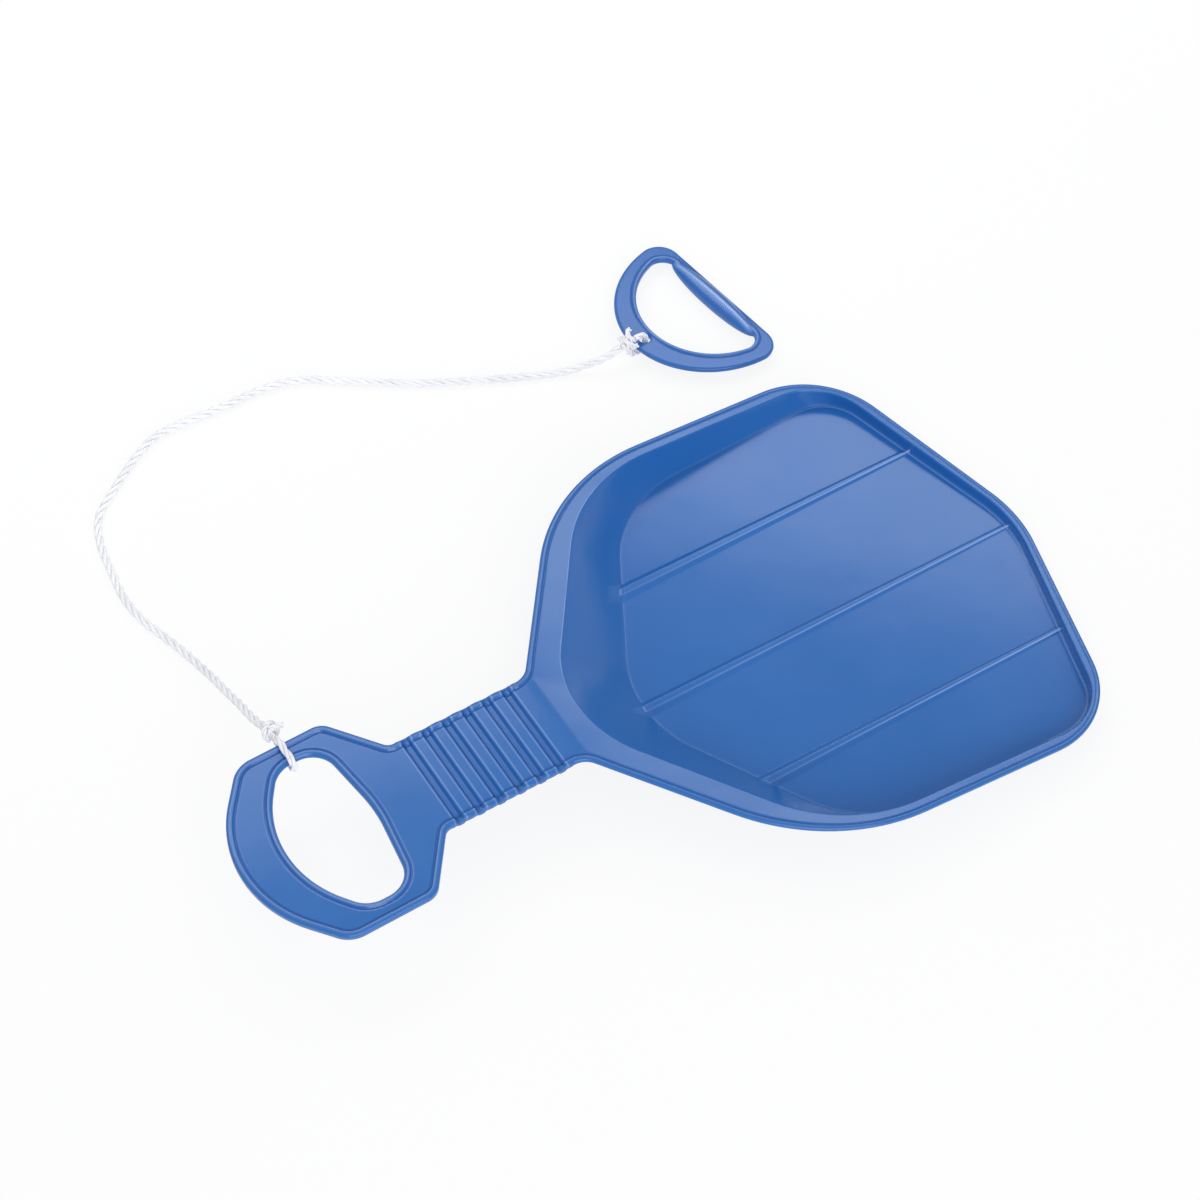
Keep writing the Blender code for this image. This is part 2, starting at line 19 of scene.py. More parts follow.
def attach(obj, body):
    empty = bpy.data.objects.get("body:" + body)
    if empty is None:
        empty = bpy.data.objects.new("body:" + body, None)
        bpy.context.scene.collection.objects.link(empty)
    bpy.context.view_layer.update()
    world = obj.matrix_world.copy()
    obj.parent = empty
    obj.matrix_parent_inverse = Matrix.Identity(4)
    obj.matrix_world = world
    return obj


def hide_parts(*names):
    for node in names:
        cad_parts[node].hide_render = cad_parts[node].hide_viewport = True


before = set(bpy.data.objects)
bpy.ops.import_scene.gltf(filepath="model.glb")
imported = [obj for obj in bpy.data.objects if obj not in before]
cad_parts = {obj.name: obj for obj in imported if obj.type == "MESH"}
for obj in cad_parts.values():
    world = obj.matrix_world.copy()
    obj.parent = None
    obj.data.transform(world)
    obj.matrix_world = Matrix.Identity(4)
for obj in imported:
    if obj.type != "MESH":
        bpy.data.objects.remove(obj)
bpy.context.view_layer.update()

# %% Helpers that put things into the scene
def placed(name, data):
    """A new object with this data, in the scene."""
    item = bpy.data.objects.new(name, data)
    bpy.context.scene.collection.objects.link(item)
    return item


def mesh_from(bm, name):
    """A mesh of what was built, which is then let go."""
    mesh = bpy.data.meshes.new(name)
    bm.to_mesh(mesh)
    bm.free()
    return mesh


# %% [markdown]
# ## The camera
#
# The sled is seen from its right front, from well above, with a long lens, so its lines stay nearly
# parallel. A camera looks along its own minus Z, so two turns aim it: one tips it up from straight
# down, the other swings it round the upright axis.

# %% Place the camera
VIEW_AZIMUTH = 58.30
VIEW_ELEVATION = 53.70
CAMERA_PLACE = (1.1022, -0.8272, 1.9158)
LENS = 105.0
SENSOR_WIDTH = 36.0
FAR_CLIP = 50.0

camera_data = bpy.data.cameras.new("camera")
camera_data.lens = LENS
camera_data.sensor_width = SENSOR_WIDTH
camera_data.clip_end = FAR_CLIP
camera = placed("camera", camera_data)
camera.location = CAMERA_PLACE
camera.rotation_euler = (math.radians(90.0 - VIEW_ELEVATION), 0.0, math.radians(VIEW_AZIMUTH))
bpy.context.scene.camera = camera
print("camera at", CAMERA_PLACE, "with a lens of", LENS, "mm")

# %% [markdown]
# ## Sizes that the rope shares
#
# The rope ends in two knots, one outside the handle's left bar and one on the edge of the grip's
# bow. It swings about the middle of the first, and the grip tips about an axis through its hole.
# The visible pieces are built round the same points.

# %% Places of the knots and the grip
ROPE_RADIUS = 0.0030
LAID_Z = 0.0032
EYE_Y = -0.3420
HANDLE_KNOT = Vector((-0.0885, EYE_Y, 0.0465))
HANDLE_KNOT_RADIUS = 0.0062
GRIP_TURN = math.radians(8.2)
GRIP_DIP = math.radians(2.95)
GRIP_AXIS = Vector((-0.266845, 0.049435, 0.0110))
GRIP_KNOT_RADIUS = 0.0070
BAR_TO_AXIS = 0.0719
GRIP_OUT = Vector((math.sin(GRIP_TURN), -math.cos(GRIP_TURN), 0.0))
GRIP_KNOT = Vector((-0.265649, 0.041137, 0.019384))
print("knots are", round((HANDLE_KNOT - GRIP_KNOT).length, 3), "m apart")

# %% [markdown]
# ## The rope's path
#
# The free rope leaves the knot at the handle, sinks to the ground and lies there in one loose bend
# as far as the grip. A few listed points give its route. A smooth curve through them, cut into
# even steps, is what the strands will follow.

# %% The route on the ground
ROPE_ROUTE = (
    (-0.1078, -0.3441, 0.0380), (-0.1286, -0.3441, 0.0290), (-0.1499, -0.3447, 0.0200),
    (-0.1660, -0.3452, 0.0142), (-0.1831, -0.3469, 0.0090), (-0.2056, -0.3507, 0.0048),
    (-0.2257, -0.3560, LAID_Z), (-0.2430, -0.3610, LAID_Z), (-0.2634, -0.3628, LAID_Z),
    (-0.2881, -0.3600, LAID_Z), (-0.3128, -0.3557, LAID_Z), (-0.3340, -0.3465, LAID_Z),
    (-0.3489, -0.3291, LAID_Z), (-0.3657, -0.3047, LAID_Z), (-0.3775, -0.2819, LAID_Z),
    (-0.3790, -0.2603, LAID_Z), (-0.3772, -0.2285, LAID_Z), (-0.3765, -0.1949, LAID_Z),
    (-0.3702, -0.1686, LAID_Z), (-0.3511, -0.1394, LAID_Z), (-0.3230, -0.0974, LAID_Z),
    (-0.2986, -0.0508, LAID_Z), (-0.2802, -0.0104, LAID_Z), (-0.2741, 0.0080, 0.0058),
    (-0.2680, 0.0240, 0.0115),
)

# %% Smooth it and cut it into even steps
SAMPLES = 24
ROPE_STEP = 0.0012
IN_HANDLE_KNOT = 0.0006  # how deep each end of the free rope reaches into its knot
IN_GRIP_KNOT = 0.0012


def smooth_curve(points, step):
    """Evenly spaced points on a smooth curve through the given ones."""
    knots = [points[0] * 2 - points[1]] + points + [points[-1] * 2 - points[-2]]
    fine = []
    for p0, p1, p2, p3 in zip(knots, knots[1:], knots[2:], knots[3:]):
        for sample in range(SAMPLES):
            t = sample / SAMPLES
            bend = p0 * 2 - p1 * 5 + p2 * 4 - p3
            twist = p1 * 3 - p0 - p2 * 3 + p3
            fine.append((p1 * 2 + (p2 - p0) * t + bend * t * t + twist * t ** 3) / 2)
    fine.append(points[-1])
    lengths = [0.0]
    for before, after in zip(fine, fine[1:]):
        lengths.append(lengths[-1] + (after - before).length)
    count = max(2, round(lengths[-1] / step))
    even = []
    place = 0
    for index in range(count + 1):
        target = lengths[-1] * index / count
        while place < len(lengths) - 2 and lengths[place + 1] < target:
            place += 1
        share = (target - lengths[place]) / (lengths[place + 1] - lengths[place])
        even.append(fine[place].lerp(fine[place + 1], share))
    return even


def path_length(points):
    return sum((after - before).length for before, after in zip(points, points[1:]))


route = [Vector(point) for point in ROPE_ROUTE]
out_of_handle = (route[0] - HANDLE_KNOT).normalized()
out_of_grip = (route[-1] - GRIP_KNOT).normalized()
rope_start = HANDLE_KNOT + out_of_handle * (HANDLE_KNOT_RADIUS - IN_HANDLE_KNOT)
rope_end = GRIP_KNOT + out_of_grip * (GRIP_KNOT_RADIUS - IN_GRIP_KNOT)
rope_path = smooth_curve([rope_start] + route + [rope_end], ROPE_STEP)
print("free rope:", len(rope_path), "points,", round(path_length(rope_path), 4), "m long")

# %% [markdown]
# ## Laid rope
#
# The rope is three strands twisted round each other. Each strand is a thin round tube that winds
# round the path, a third of a turn behind its neighbour. A curve with a round bevel makes such a
# tube and gives it a UV map along its length. To wind evenly, the strands need a sideways direction
# that is carried along the path without spinning.

# %% Strands that wind round a path
LAY = 0.0260  # length of one turn of a strand
STRANDS = 3
STRANDS_FIT = 2.1547  # radius of a circle over that of three equal ones that fill it
PROFILE_STEPS = 2


def carried_sideways(points):
    """The direction along the path, and one across it that doesn't spin, at each point."""
    befores = points[:1] + points[:-1]
    afters = points[1:] + points[-1:]
    tangents = [(after - before).normalized() for before, after in zip(befores, afters)]
    side = tangents[0].orthogonal().normalized()
    sides = [side]
    for last, here in zip(tangents, tangents[1:]):
        side = last.rotation_difference(here) @ side
        side = (side - here * side.dot(here)).normalized()
        sides.append(side)
    return tangents, sides


def strand_points(points, radius, phase, lay):
    """One strand's centreline: a helix round the path."""
    travelled = 0.0
    before = points[0]
    strand = []
    for point, tangent, side in zip(points, *carried_sideways(points)):
        travelled += (point - before).length
        before = point
        angle = phase + 2 * math.pi * travelled / lay
        across = side * math.cos(angle) + tangent.cross(side) * math.sin(angle)
        strand.append(point + across * radius)
    return strand


# %% A laid rope as one mesh
def laid_rope(name, paths, radius, lay=LAY):
    """Three strands round each path, joined in one mesh object."""
    strand_radius = radius / STRANDS_FIT
    data = bpy.data.curves.new(name, 'CURVE')
    data.dimensions = '3D'
    data.bevel_depth = strand_radius
    data.bevel_resolution = PROFILE_STEPS
    data.use_fill_caps = True
    for points in paths:
        for third in range(STRANDS):
            phase = 2 * math.pi * third / STRANDS
            strand = strand_points(points, radius - strand_radius, phase, lay)
            spline = data.splines.new('POLY')
            spline.points.add(len(strand) - 1)
            for slot, place in zip(spline.points, strand):
                slot.co = (*place, 1.0)
    holder = placed(name + "_strands", data)
    evaluated = holder.evaluated_get(bpy.context.evaluated_depsgraph_get())
    mesh = bpy.data.meshes.new_from_object(evaluated)
    bpy.data.objects.remove(holder, do_unlink=True)
    mesh.name = name
    mesh.shade_smooth()
    maps = [layer.name for layer in mesh.uv_layers]
    print(name, "has", len(mesh.polygons), "faces, UV maps:", maps)
    return placed(name, mesh)


tow_line = laid_rope("tow_line", [rope_path], ROPE_RADIUS)

# %% [markdown]
# ## Round the handle's bar
#
# The rope passes once round the left bar of the handle, and its end is knotted outside the bar. The
# loop is drawn as a rounded rectangle round the bar's section, a little clear of the plastic.

# %% The loop round the bar
BAR_OUTER_X = -0.0757
BAR_INNER_X = -0.0596
BAR_TOP_Z = 0.0487
BAR_UNDER_Z = 0.0442
EYE_RADIUS = 0.0026
EYE_OFFSET = 0.0027  # from the bar's plastic to the rope's middle
EYE_CORNER = EYE_OFFSET + 0.0004
EYE_STEP = 0.0010
CORNER_STEPS = 8


def rounded_rectangle(left, right, low, high, radius):
    """Points of an upright rectangle with round corners, at the eye's place along the handle."""
    middles = ((right - radius, high - radius, 90), (right - radius, low + radius, 0),
               (left + radius, low + radius, -90), (left + radius, high - radius, -180))
    points = []
    for x, z, first in middles:
        for step in range(CORNER_STEPS + 1):
            angle = math.radians(first - 90 * step / CORNER_STEPS)
            points.append(Vector((x + radius * math.cos(angle), EYE_Y, z + radius * math.sin(angle))))
    return points


eye_corners = rounded_rectangle(BAR_OUTER_X - EYE_OFFSET, BAR_INNER_X + EYE_OFFSET,
                                BAR_UNDER_Z - EYE_OFFSET, BAR_TOP_Z + EYE_OFFSET, EYE_CORNER)
eye_path = smooth_curve(eye_corners + [eye_corners[0]], EYE_STEP)
handle_loop = laid_rope("handle_loop", [eye_path], EYE_RADIUS, lay=path_length(eye_path) / 2)
print("loop round the bar:", round(path_length(eye_path) * 1000), "mm")

# %% [markdown]
# ## Knots
#
# A small overhand knot looks like a short barrel: the rope winds round itself twice, and one turn
# crosses over the others. So each knot is a coil of slightly squeezed rope along the rope's own
# direction, with a crossing turn laid over it and a short end that sticks out. Two more short
# stretches lead from the loop round the bar into the handle's knot.

# %% A knot as a wound path
KNOT_STEPS = 120
KNOT_LAY = 0.0120
FADE = 0.2  # share of a coil over which it widens at each end
COIL_END = 0.25  # its radius there, as a share of the full one
OVER_TURN = 1.15  # a crossing goes this much of a half turn round the coil
TAIL_STEP = 0.0006


def smooth_step(low, high, value):
    """From 0 to 1 between two values, with soft ends."""
    share = min(1.0, max(0.0, (value - low) / (high - low)))
    return share * share * (3 - 2 * share)


def wound(centre, along, radius, length, turns, first):
    """A coil round an axis, which starts and ends near the axis."""
    side = along.orthogonal().normalized()
    other = along.cross(side)
    points = []
    for step in range(KNOT_STEPS + 1):
        share = step / KNOT_STEPS
        angle = first + 2 * math.pi * turns * share
        swell = smooth_step(0.0, FADE, min(share, 1 - share))
        reach = radius * (COIL_END + (1 - COIL_END) * swell)
        points.append(centre + along * (length * (share - 0.5))
                      + side * (reach * math.cos(angle)) + other * (reach * math.sin(angle)))
    return points


def crossing(centre, along, up, radius, length):
    """One turn that crosses the coil from end to end over its top."""
    up = (up - along * up.dot(along)).normalized()
    side = along.cross(up)
    points = []
    for step in range(KNOT_STEPS // 2 + 1):
        share = step / (KNOT_STEPS // 2)
        angle = math.pi * OVER_TURN * (share - 0.5)
        points.append(centre + along * (length * (share - 0.5))
                      + up * (radius * math.cos(angle)) + side * (radius * math.sin(angle)))
    return points


def tied_knot(name, middle, along, radius, coil, over, tail, leads=()):
    """A coil, a turn over it, a short tail and any stretches that lead into it."""
    lean, *over_sizes = over
    paths = [wound(middle, along, *coil), crossing(middle, along, Vector(lean), *over_sizes),
             smooth_curve([middle + Vector(offset) for offset in tail], TAIL_STEP)]
    return laid_rope(name, paths + list(leads), radius, lay=KNOT_LAY)


# %% The knot outside the handle
HANDLE_COIL = (0.0041, 0.0080, 2.2, 0.6)  # radius, length, turns and first angle
HANDLE_OVER = ((0.4, -0.4, 1.0), 0.0048, 0.0070)  # where it leans, radius and length
HANDLE_TAIL = ((0.0010, 0.0010, 0.0020), (0.0015, 0.0050, 0.0042), (0.0025, 0.0085, 0.0040))
LEAD_RISE = 0.0018  # half the height between the two ends of the loop at the knot
leads = []
for rise in (-LEAD_RISE, LEAD_RISE):
    on_loop = Vector((BAR_OUTER_X - EYE_OFFSET, EYE_Y, HANDLE_KNOT.z + rise))
    leads.append(smooth_curve([on_loop, on_loop.lerp(HANDLE_KNOT, 0.5), HANDLE_KNOT], TAIL_STEP))
handle_tie = tied_knot("handle_tie", HANDLE_KNOT, out_of_handle, 0.0021, HANDLE_COIL, HANDLE_OVER,
                       HANDLE_TAIL, leads)

# %% The knot on the grip's edge
GRIP_COIL = (0.0044, 0.0085, 2.4, 2.0)
GRIP_OVER = ((0.6, -0.2, 1.0), 0.0053, 0.0082)
GRIP_TAIL = ((-0.0020, 0.0010, 0.0030), (-0.0055, 0.0030, 0.0042), (-0.0076, 0.0058, 0.0032))
grip_tie = tied_knot("grip_tie", GRIP_KNOT, out_of_grip, 0.0019, GRIP_COIL, GRIP_OVER, GRIP_TAIL)

# %% The loop through the grip's hole
GRIP_EYE_RADIUS = 0.0078
GRIP_KNOT_RISE = 45.0  # degrees from level up to the knot
GRIP_EYE_GAP = 30.0  # degrees from the knot's middle to each end of the loop
GRIP_EYE_STEPS = 60
UP = Vector((0.0, 0.0, 1.0))
eye_path = []
for step in range(GRIP_EYE_STEPS + 1):
    turned = (360.0 - 2 * GRIP_EYE_GAP) * step / GRIP_EYE_STEPS
    angle = math.radians(GRIP_KNOT_RISE + GRIP_EYE_GAP + turned)
    eye_path.append(GRIP_AXIS + (GRIP_OUT * math.cos(angle) + UP * math.sin(angle)) * GRIP_EYE_RADIUS)
grip_loop = laid_rope("grip_loop", [eye_path], 0.0024, lay=0.0190)

# %% [markdown]
# ## The moulding's outlines
#
# The sled is one sheet of plastic about 3 mm thick, pressed into shape. All its edges follow a few
# outlines of straight lines and round corners: the rim, the top of the pan's wall, the wall's foot
# and the handle's opening. An outline is written as its corners and their radii, for one half only.
# Each round corner is drawn by spinning a single vertex about the corner's centre.

# %% Corners of the outlines, as x, y and radius
NECK_HALF = 0.0370
RIM = ((0.0, 0.1934, 0.1000), (0.1780, 0.1471, 0.0650), (0.1750, -0.0785, 0.1420),
       (NECK_HALF, -0.1815, 0.0160), (NECK_HALF, -0.2832, 0.0069), (0.0757, -0.3121, 0.0132),
       (0.0757, -0.3738, 0.0203), (0.0, -0.4334, 0.0855))
WALL_TOP = ((0.0, 0.1875, 0.1000), (0.1690, 0.1407, 0.0460), (0.1658, -0.0621, 0.1100),
            (0.0, -0.1811, 0.0820))
WALL_FOOT = ((0.0, 0.1867, 0.1000), (0.1613, 0.1435, 0.0340), (0.1576, -0.0357, 0.0850),
             (0.0, -0.1231, 0.0870))
HAND_OPENING = ((0.0, -0.3140, 0.1100), (0.0596, -0.3218, 0.0183), (0.0596, -0.3524, 0.0198),
                (0.0, -0.3958, 0.0778))
CORNER_ARC = 20
STRAIGHT_CUTS = 9
AXIS_Z = (0.0, 0.0, 1.0)


# %% Draw an outline
def spun(bm, start, centre, angle, steps):
    """Vertices of an arc that starts at a place and turns about a centre."""
    first = bm.verts.new(start)
    bmesh.ops.spin(bm, geom=[first], cent=centre, axis=AXIS_Z, angle=angle, steps=steps)
    bm.verts.ensure_lookup_table()
    return bm.verts[-steps - 1:]


def cut_straight(bm, before, after):
    """Draw the straight line between two vertices in even steps, and give its new vertices."""
    step = (after.co - before.co) / (STRAIGHT_CUTS + 1)
    bmesh.ops.spin(bm, geom=[before], cent=before.co, axis=AXIS_Z, dvec=step, angle=0.0,
                   steps=STRAIGHT_CUTS)
    bm.verts.ensure_lookup_table()
    fresh = bm.verts[-STRAIGHT_CUTS:]
    bm.edges.new((fresh[-1], after))
    return fresh


def add_outline(bm, half, height):
    """A closed ring of vertices round the corners, and the direction out of it at each."""
    corners = list(half) + [(-x, y, radius) for x, y, radius in reversed(half[1:-1])]
    places = [Vector((x, y, height)) for x, y, radius in corners]
    ring = []
    outwards = []
    for index, corner in enumerate(places):
        back = (places[index - 1] - corner).normalized()
        onward = (places[(index + 1) % len(places)] - corner).normalized()
        half_angle = back.angle(onward) / 2
        radius = corners[index][2]
        centre = corner + (back + onward).normalized() * (radius / math.sin(half_angle))
        bulge = 1.0 if back.cross(onward).z > 0 else -1.0
        start = corner + back * (radius / math.tan(half_angle))
        arc = spun(bm, start, centre, -bulge * (math.pi - 2 * half_angle), CORNER_ARC)
        if ring:
            straight = cut_straight(bm, ring[-1], arc[0])
            ring += straight
            outwards += [outwards[-1]] * len(straight)
        ring += arc
        outwards += [(vert.co - centre).normalized() * bulge for vert in arc]
    straight = cut_straight(bm, ring[-1], ring[0])
    return ring + straight, outwards + [outwards[-1]] * len(straight)


def ring_edges(bm, ring):
    return [bm.edges.get((ring[index - 1], vert)) for index, vert in enumerate(ring)]


def next_ring(bm, ring, places, painted_light=None):
    """Extrude a ring of edges, and put its new vertices at the places, each with its painted light."""
    made = bmesh.ops.extrude_edge_only(bm, edges=ring_edges(bm, ring))["geom"]
    fresh = {item for item in made if isinstance(item, bmesh.types.BMVert)}
    layer = bm.verts.layers.float.get("painted_light")
    following = []
    for index, (vert, place) in enumerate(zip(ring, places)):
        others = (edge.other_vert(vert) for edge in vert.link_edges)
        twin = next(other for other in others if other in fresh)
        twin.co = place
        if layer:
            twin[layer] = painted_light[index] if painted_light else 0.0
        following.append(twin)
    return following


# %% [markdown]
# ## The moulding's sheet
#
# The flange, neck and handle are drawn flat first, because a flat sheet is easy to fill and to cut.
# The border is a bead with a groove inside it, and so is the lip of the opening. Each is a row of
# rings, given by distance from the edge, height, and painted light. The painted light is kept at each
# vertex. Above zero it is a painted highlight that makes a crest paler, below zero painted shade that
# makes a groove deeper. The gaps between the last rings are filled with triangles, and the sheet is
# lifted to its real height.

# %% Cross-sections of the edges, in millimetres, with their painted highlight and shade
MM = 0.001
BORDER_TOP = ((0.05, -1.4, 0.0), (0.4, -0.7, 0.0), (1.0, -0.25, 0.0), (1.9, 0.0, 0.05),
              (2.8, 0.15, 0.15), (3.4, 0.1, 0.30), (3.9, -0.2, 0.15), (4.3, -0.8, -0.1),
              (4.7, -1.4, -0.4), (5.1, -1.6, -0.5), (5.6, -1.3, -0.25), (6.1, -0.95, 0.0),
              (6.6, -0.9, 0.05), (7.2, -0.9, 0.0))
BORDER_UNDER = ((0.4, -4.5), (1.6, -4.5), (2.0, -4.2), (2.4, -3.0), (2.8, -3.0))
LIP_TOP = ((0.1, -2.3, 0.0), (0.4, -1.5, 0.0), (1.0, -0.8, 0.0), (1.7, -0.3, 0.05),
           (2.4, 0.1, 0.20), (3.0, 0.15, 0.35), (3.6, -0.1, 0.15), (4.0, -0.7, -0.1),
           (4.4, -1.3, -0.4), (4.8, -1.5, -0.5), (5.3, -1.2, -0.25), (5.8, -0.9, 0.1),
           (6.4, -0.9, 0.15), (7.1, -0.9, 0.0))
LIP_UNDER = ((0.4, -4.2), (1.6, -4.2), (2.2, -3.9), (5.0, -3.0), (5.5, -3.0))
LIP_EDGE_Z = -0.0036  # where the opening's outline lies, under the bead's top
PLATE_DROP = 0.0009
SHEET = 0.0030
PAN_EDGE_DEPTH = 0.0026
HANDLE_EDGE_DEPTH = 0.0042
FRONT_BLEND = (-0.195, -0.165)  # stretches along the sled over which the border changes
REAR_BLEND = (0.090, 0.150)


def border_share(y):
    """The border is widest on the handle, and narrows over the pan to the rear."""
    front = 0.14 * smooth_step(*FRONT_BLEND, y) + 0.18 * smooth_step(-0.100, -0.040, y)
    return 1.0 - front - 0.16 * smooth_step(*REAR_BLEND, y)


def painted_light_share(y):
    """The border's painted highlights and shade are plainest on the handle, and faint round the pan."""
    return 1.0 - 0.55 * smooth_step(*FRONT_BLEND, y) - 0.12 * smooth_step(0.080, 0.140, y)


def edge_depth(y):
    """The edge is turned down on the neck and the handle, and plain round the pan."""
    return PAN_EDGE_DEPTH + (HANDLE_EDGE_DEPTH - PAN_EDGE_DEPTH) * smooth_step(-0.180, -0.200, y)


# %% Lay out the flat sheet, above and below
def inset_places(ring, outwards, inset, height):
    """Places inside a ring by this much, at this height, both in millimetres."""
    return [Vector((*(vert.co - out * (inset * MM)).xy, height * MM))
            for vert, out in zip(ring, outwards)]


def add_rings(bm, first, outwards, profile, shares=None):
    """Rings that follow a first one, by a profile of inset, height and painted light; gives the last.
    """
    ring = first
    for inset, height, *painted_light in profile:
        painted_lights = [painted_light[0] * share for share in shares] if painted_light else None
        ring = next_ring(bm, ring, inset_places(first, outwards, inset, height), painted_lights)
    return ring


def flat_sheet(bm):
    """The sheet's top and underside between the rim, the wall's top and the opening."""
    rim, outwards = add_outline(bm, RIM, -HANDLE_EDGE_DEPTH)
    outwards = [out * border_share(vert.co.y) for vert, out in zip(rim, outwards)]
    border = add_rings(bm, rim, outwards, BORDER_TOP, [painted_light_share(vert.co.y) for vert in rim])
    under = add_rings(bm, rim, outwards, BORDER_UNDER)
    hole, outwards = add_outline(bm, HAND_OPENING, LIP_EDGE_Z)
    inwards = [-out for out in outwards]
    lip = add_rings(bm, hole, inwards, LIP_TOP, [1.0] * len(hole))
    lip_under = add_rings(bm, hole, inwards, LIP_UNDER)
    wall, wall_under = (add_outline(bm, WALL_TOP, height)[0] for height in (-PLATE_DROP, -SHEET))
    print("flat sheet:", len(bm.verts), "vertices before the gaps are filled")
    return (border, lip, wall), (under, lip_under, wall_under)


# %% Heights along the sled
NECK_Y = -0.1802
NECK_END_Y = -0.2832
HANDLE_TIP_Y = -0.4334
REAR_TIP_Y = 0.1925
FRONT_HEIGHT = 0.0500
REAR_HEIGHT = 0.0099
HANDLE_FALL = 0.0032
BEND_HALF = 0.0040
GROOVE_FIRST_Y = NECK_Y - 0.0170
GROOVE_PITCH = 0.0150
GROOVES = 6
# Depth, and painted highlight and shade, by the distance from a groove's middle, in millimetres.
GROOVE_PROFILE = ((0.0, 2.4), (0.8, 2.4), (1.5, 2.4), (1.9, 2.1), (2.9, 0.4), (3.2, 0.1),
                  (3.6, 0.0), (4.3, 0.0), (5.1, 0.0))
GROOVE_PAINTED_LIGHT = ((-5.1, 0.0), (-4.3, 0.30), (-3.6, 0.05), (-2.9, -0.6), (-1.9, -0.7), (-0.8, -0.15),
               (0.8, 0.05), (1.5, -0.1), (2.4, -0.35), (3.2, 0.0), (4.3, 0.35), (5.1, 0.0))
BESIDE_GROOVE = 0.0056  # one more cut across the neck on each side of a groove
NECK_MARGIN = 0.0040  # the neck's sides run straight for this far at the handle
SCALLOP_BAND = 0.0060  # width of the neck's edge that the grooves pinch, and by how much
SCALLOP = 0.0003
GROOVE_FADE = (0.0030, 0.0008)  # distances from the edge between which a groove runs out
EDGE_KEEP = 0.35  # share of a groove's depth that is left at the edge
TURNED_DOWN = (-0.0050, -0.0035)  # the turned-down edge's foot lies between these heights,
TOP_SKIN = -0.0020  # and the top skin over this one, in the flat sheet


def plate_height(y):
    """Height of the bead's top: level over the neck, falling to the rear and to the nose."""
    slope = (REAR_HEIGHT - FRONT_HEIGHT) / (REAR_TIP_Y - NECK_Y)
    past = y - NECK_Y
    if abs(past) < BEND_HALF:
        fall = slope * (past + BEND_HALF) ** 2 / (4 * BEND_HALF)
    else:
        fall = slope * max(0.0, past)
    to_nose = max(0.0, (y - NECK_END_Y) / (HANDLE_TIP_Y - NECK_END_Y))
    return FRONT_HEIGHT + fall - HANDLE_FALL * to_nose


def groove_offset(y):
    """How far behind the nearest groove's middle a place lies."""
    index = min(GROOVES - 1, max(0, round((GROOVE_FIRST_Y - y) / GROOVE_PITCH)))
    return y - (GROOVE_FIRST_Y - index * GROOVE_PITCH)


def read_profile(profile, offset):
    """The value at an offset in metres, by a profile in millimetres, and nothing beyond its ends."""
    offset /= MM
    for (near, first), (far, second) in zip(profile, profile[1:]):
        if near <= offset <= far:
            return first + (second - first) * (offset - near) / (far - near)
    return 0.0


def plate_drop_share(y):
    """The plate lies less deep inside the bead towards the rear."""
    return 1.0 - 0.35 * smooth_step(-0.160, 0.060, y) - 0.50 * smooth_step(0.060, 0.140, y)


def cross_lines():
    """Where the sheet is cut across, so that it can bend there."""
    lines = [NECK_Y + BEND_HALF * share for share in (-1.0, -0.5, 0.0, 0.5, 1.0)]
    lines += [NECK_END_Y, NECK_END_Y - NECK_MARGIN / 2]
    offsets = [row[0] * MM for row in GROOVE_PROFILE[1:]] + [BESIDE_GROOVE]
    for index in range(GROOVES):
        middle = GROOVE_FIRST_Y - index * GROOVE_PITCH
        lines.append(middle - GROOVE_PITCH / 2)
        for offset in offsets:
            lines += [middle - offset, middle + offset]
    return sorted(set(lines + [GROOVE_FIRST_Y + GROOVE_PITCH / 2]))


def fill_and_lift(bm, top_rings, under_rings):
    """Fill between the rings, cut across the grooves and lift the sheet to its height."""
    for rings, up in ((top_rings, 1.0), (under_rings, -1.0)):
        edges = [edge for ring in rings for edge in ring_edges(bm, ring)]
        bmesh.ops.triangle_fill(bm, use_beauty=True, edges=edges, normal=(0.0, 0.0, up))
    for y in cross_lines():
        bmesh.ops.bisect_plane(bm, geom=bm.verts[:] + bm.edges[:] + bm.faces[:], dist=1e-6,
                               plane_co=(0.0, y, 0.0), plane_no=(0.0, 1.0, 0.0))
    layer = bm.verts.layers.float["painted_light"]
    for vert in bm.verts:
        x, y, local = vert.co
        if TURNED_DOWN[0] < local < TURNED_DOWN[1]:
            local += HANDLE_EDGE_DEPTH - edge_depth(y)
        elif local > TOP_SKIN:
            local *= plate_drop_share(y)
        on_neck = NECK_END_Y + NECK_MARGIN < y < GROOVE_FIRST_Y + GROOVE_PITCH / 2
        if on_neck and abs(x) > NECK_HALF - SCALLOP_BAND:
            share = math.sin(math.pi / 2 * min(1.0, abs(groove_offset(y)) / (GROOVE_PITCH / 2)))
            vert.co.x += math.copysign(SCALLOP * (2 * share * share - 1), x)
        # Painted highlights on the pads' edges and painted shade down in the neck's grooves
        if NECK_END_Y < y < NECK_Y and local > TOP_SKIN:
            vert[layer] = vert[layer] / 2 + read_profile(GROOVE_PAINTED_LIGHT, groove_offset(y))
        groove = read_profile(GROOVE_PROFILE, abs(groove_offset(y))) * MM
        near_edge = smooth_step(*(NECK_HALF - inset for inset in GROOVE_FADE), abs(x))
        vert.co.z = plate_height(y) - groove * (1 - (1 - EDGE_KEEP) * near_edge) + local


# %% [markdown]
# ## Wall, floor and ribs
#
# From the inner edge of the flange the wall turns down and slopes to the floor. It is steep at the
# sides and shallow in front, where the two outlines lie far apart. Each corner of the section is a
# short curve between two straight stretches, so the light catches it as it does on the real sheet.
# Three low ribs run along the floor. They are cut as lines into the floor and lifted as a roof.

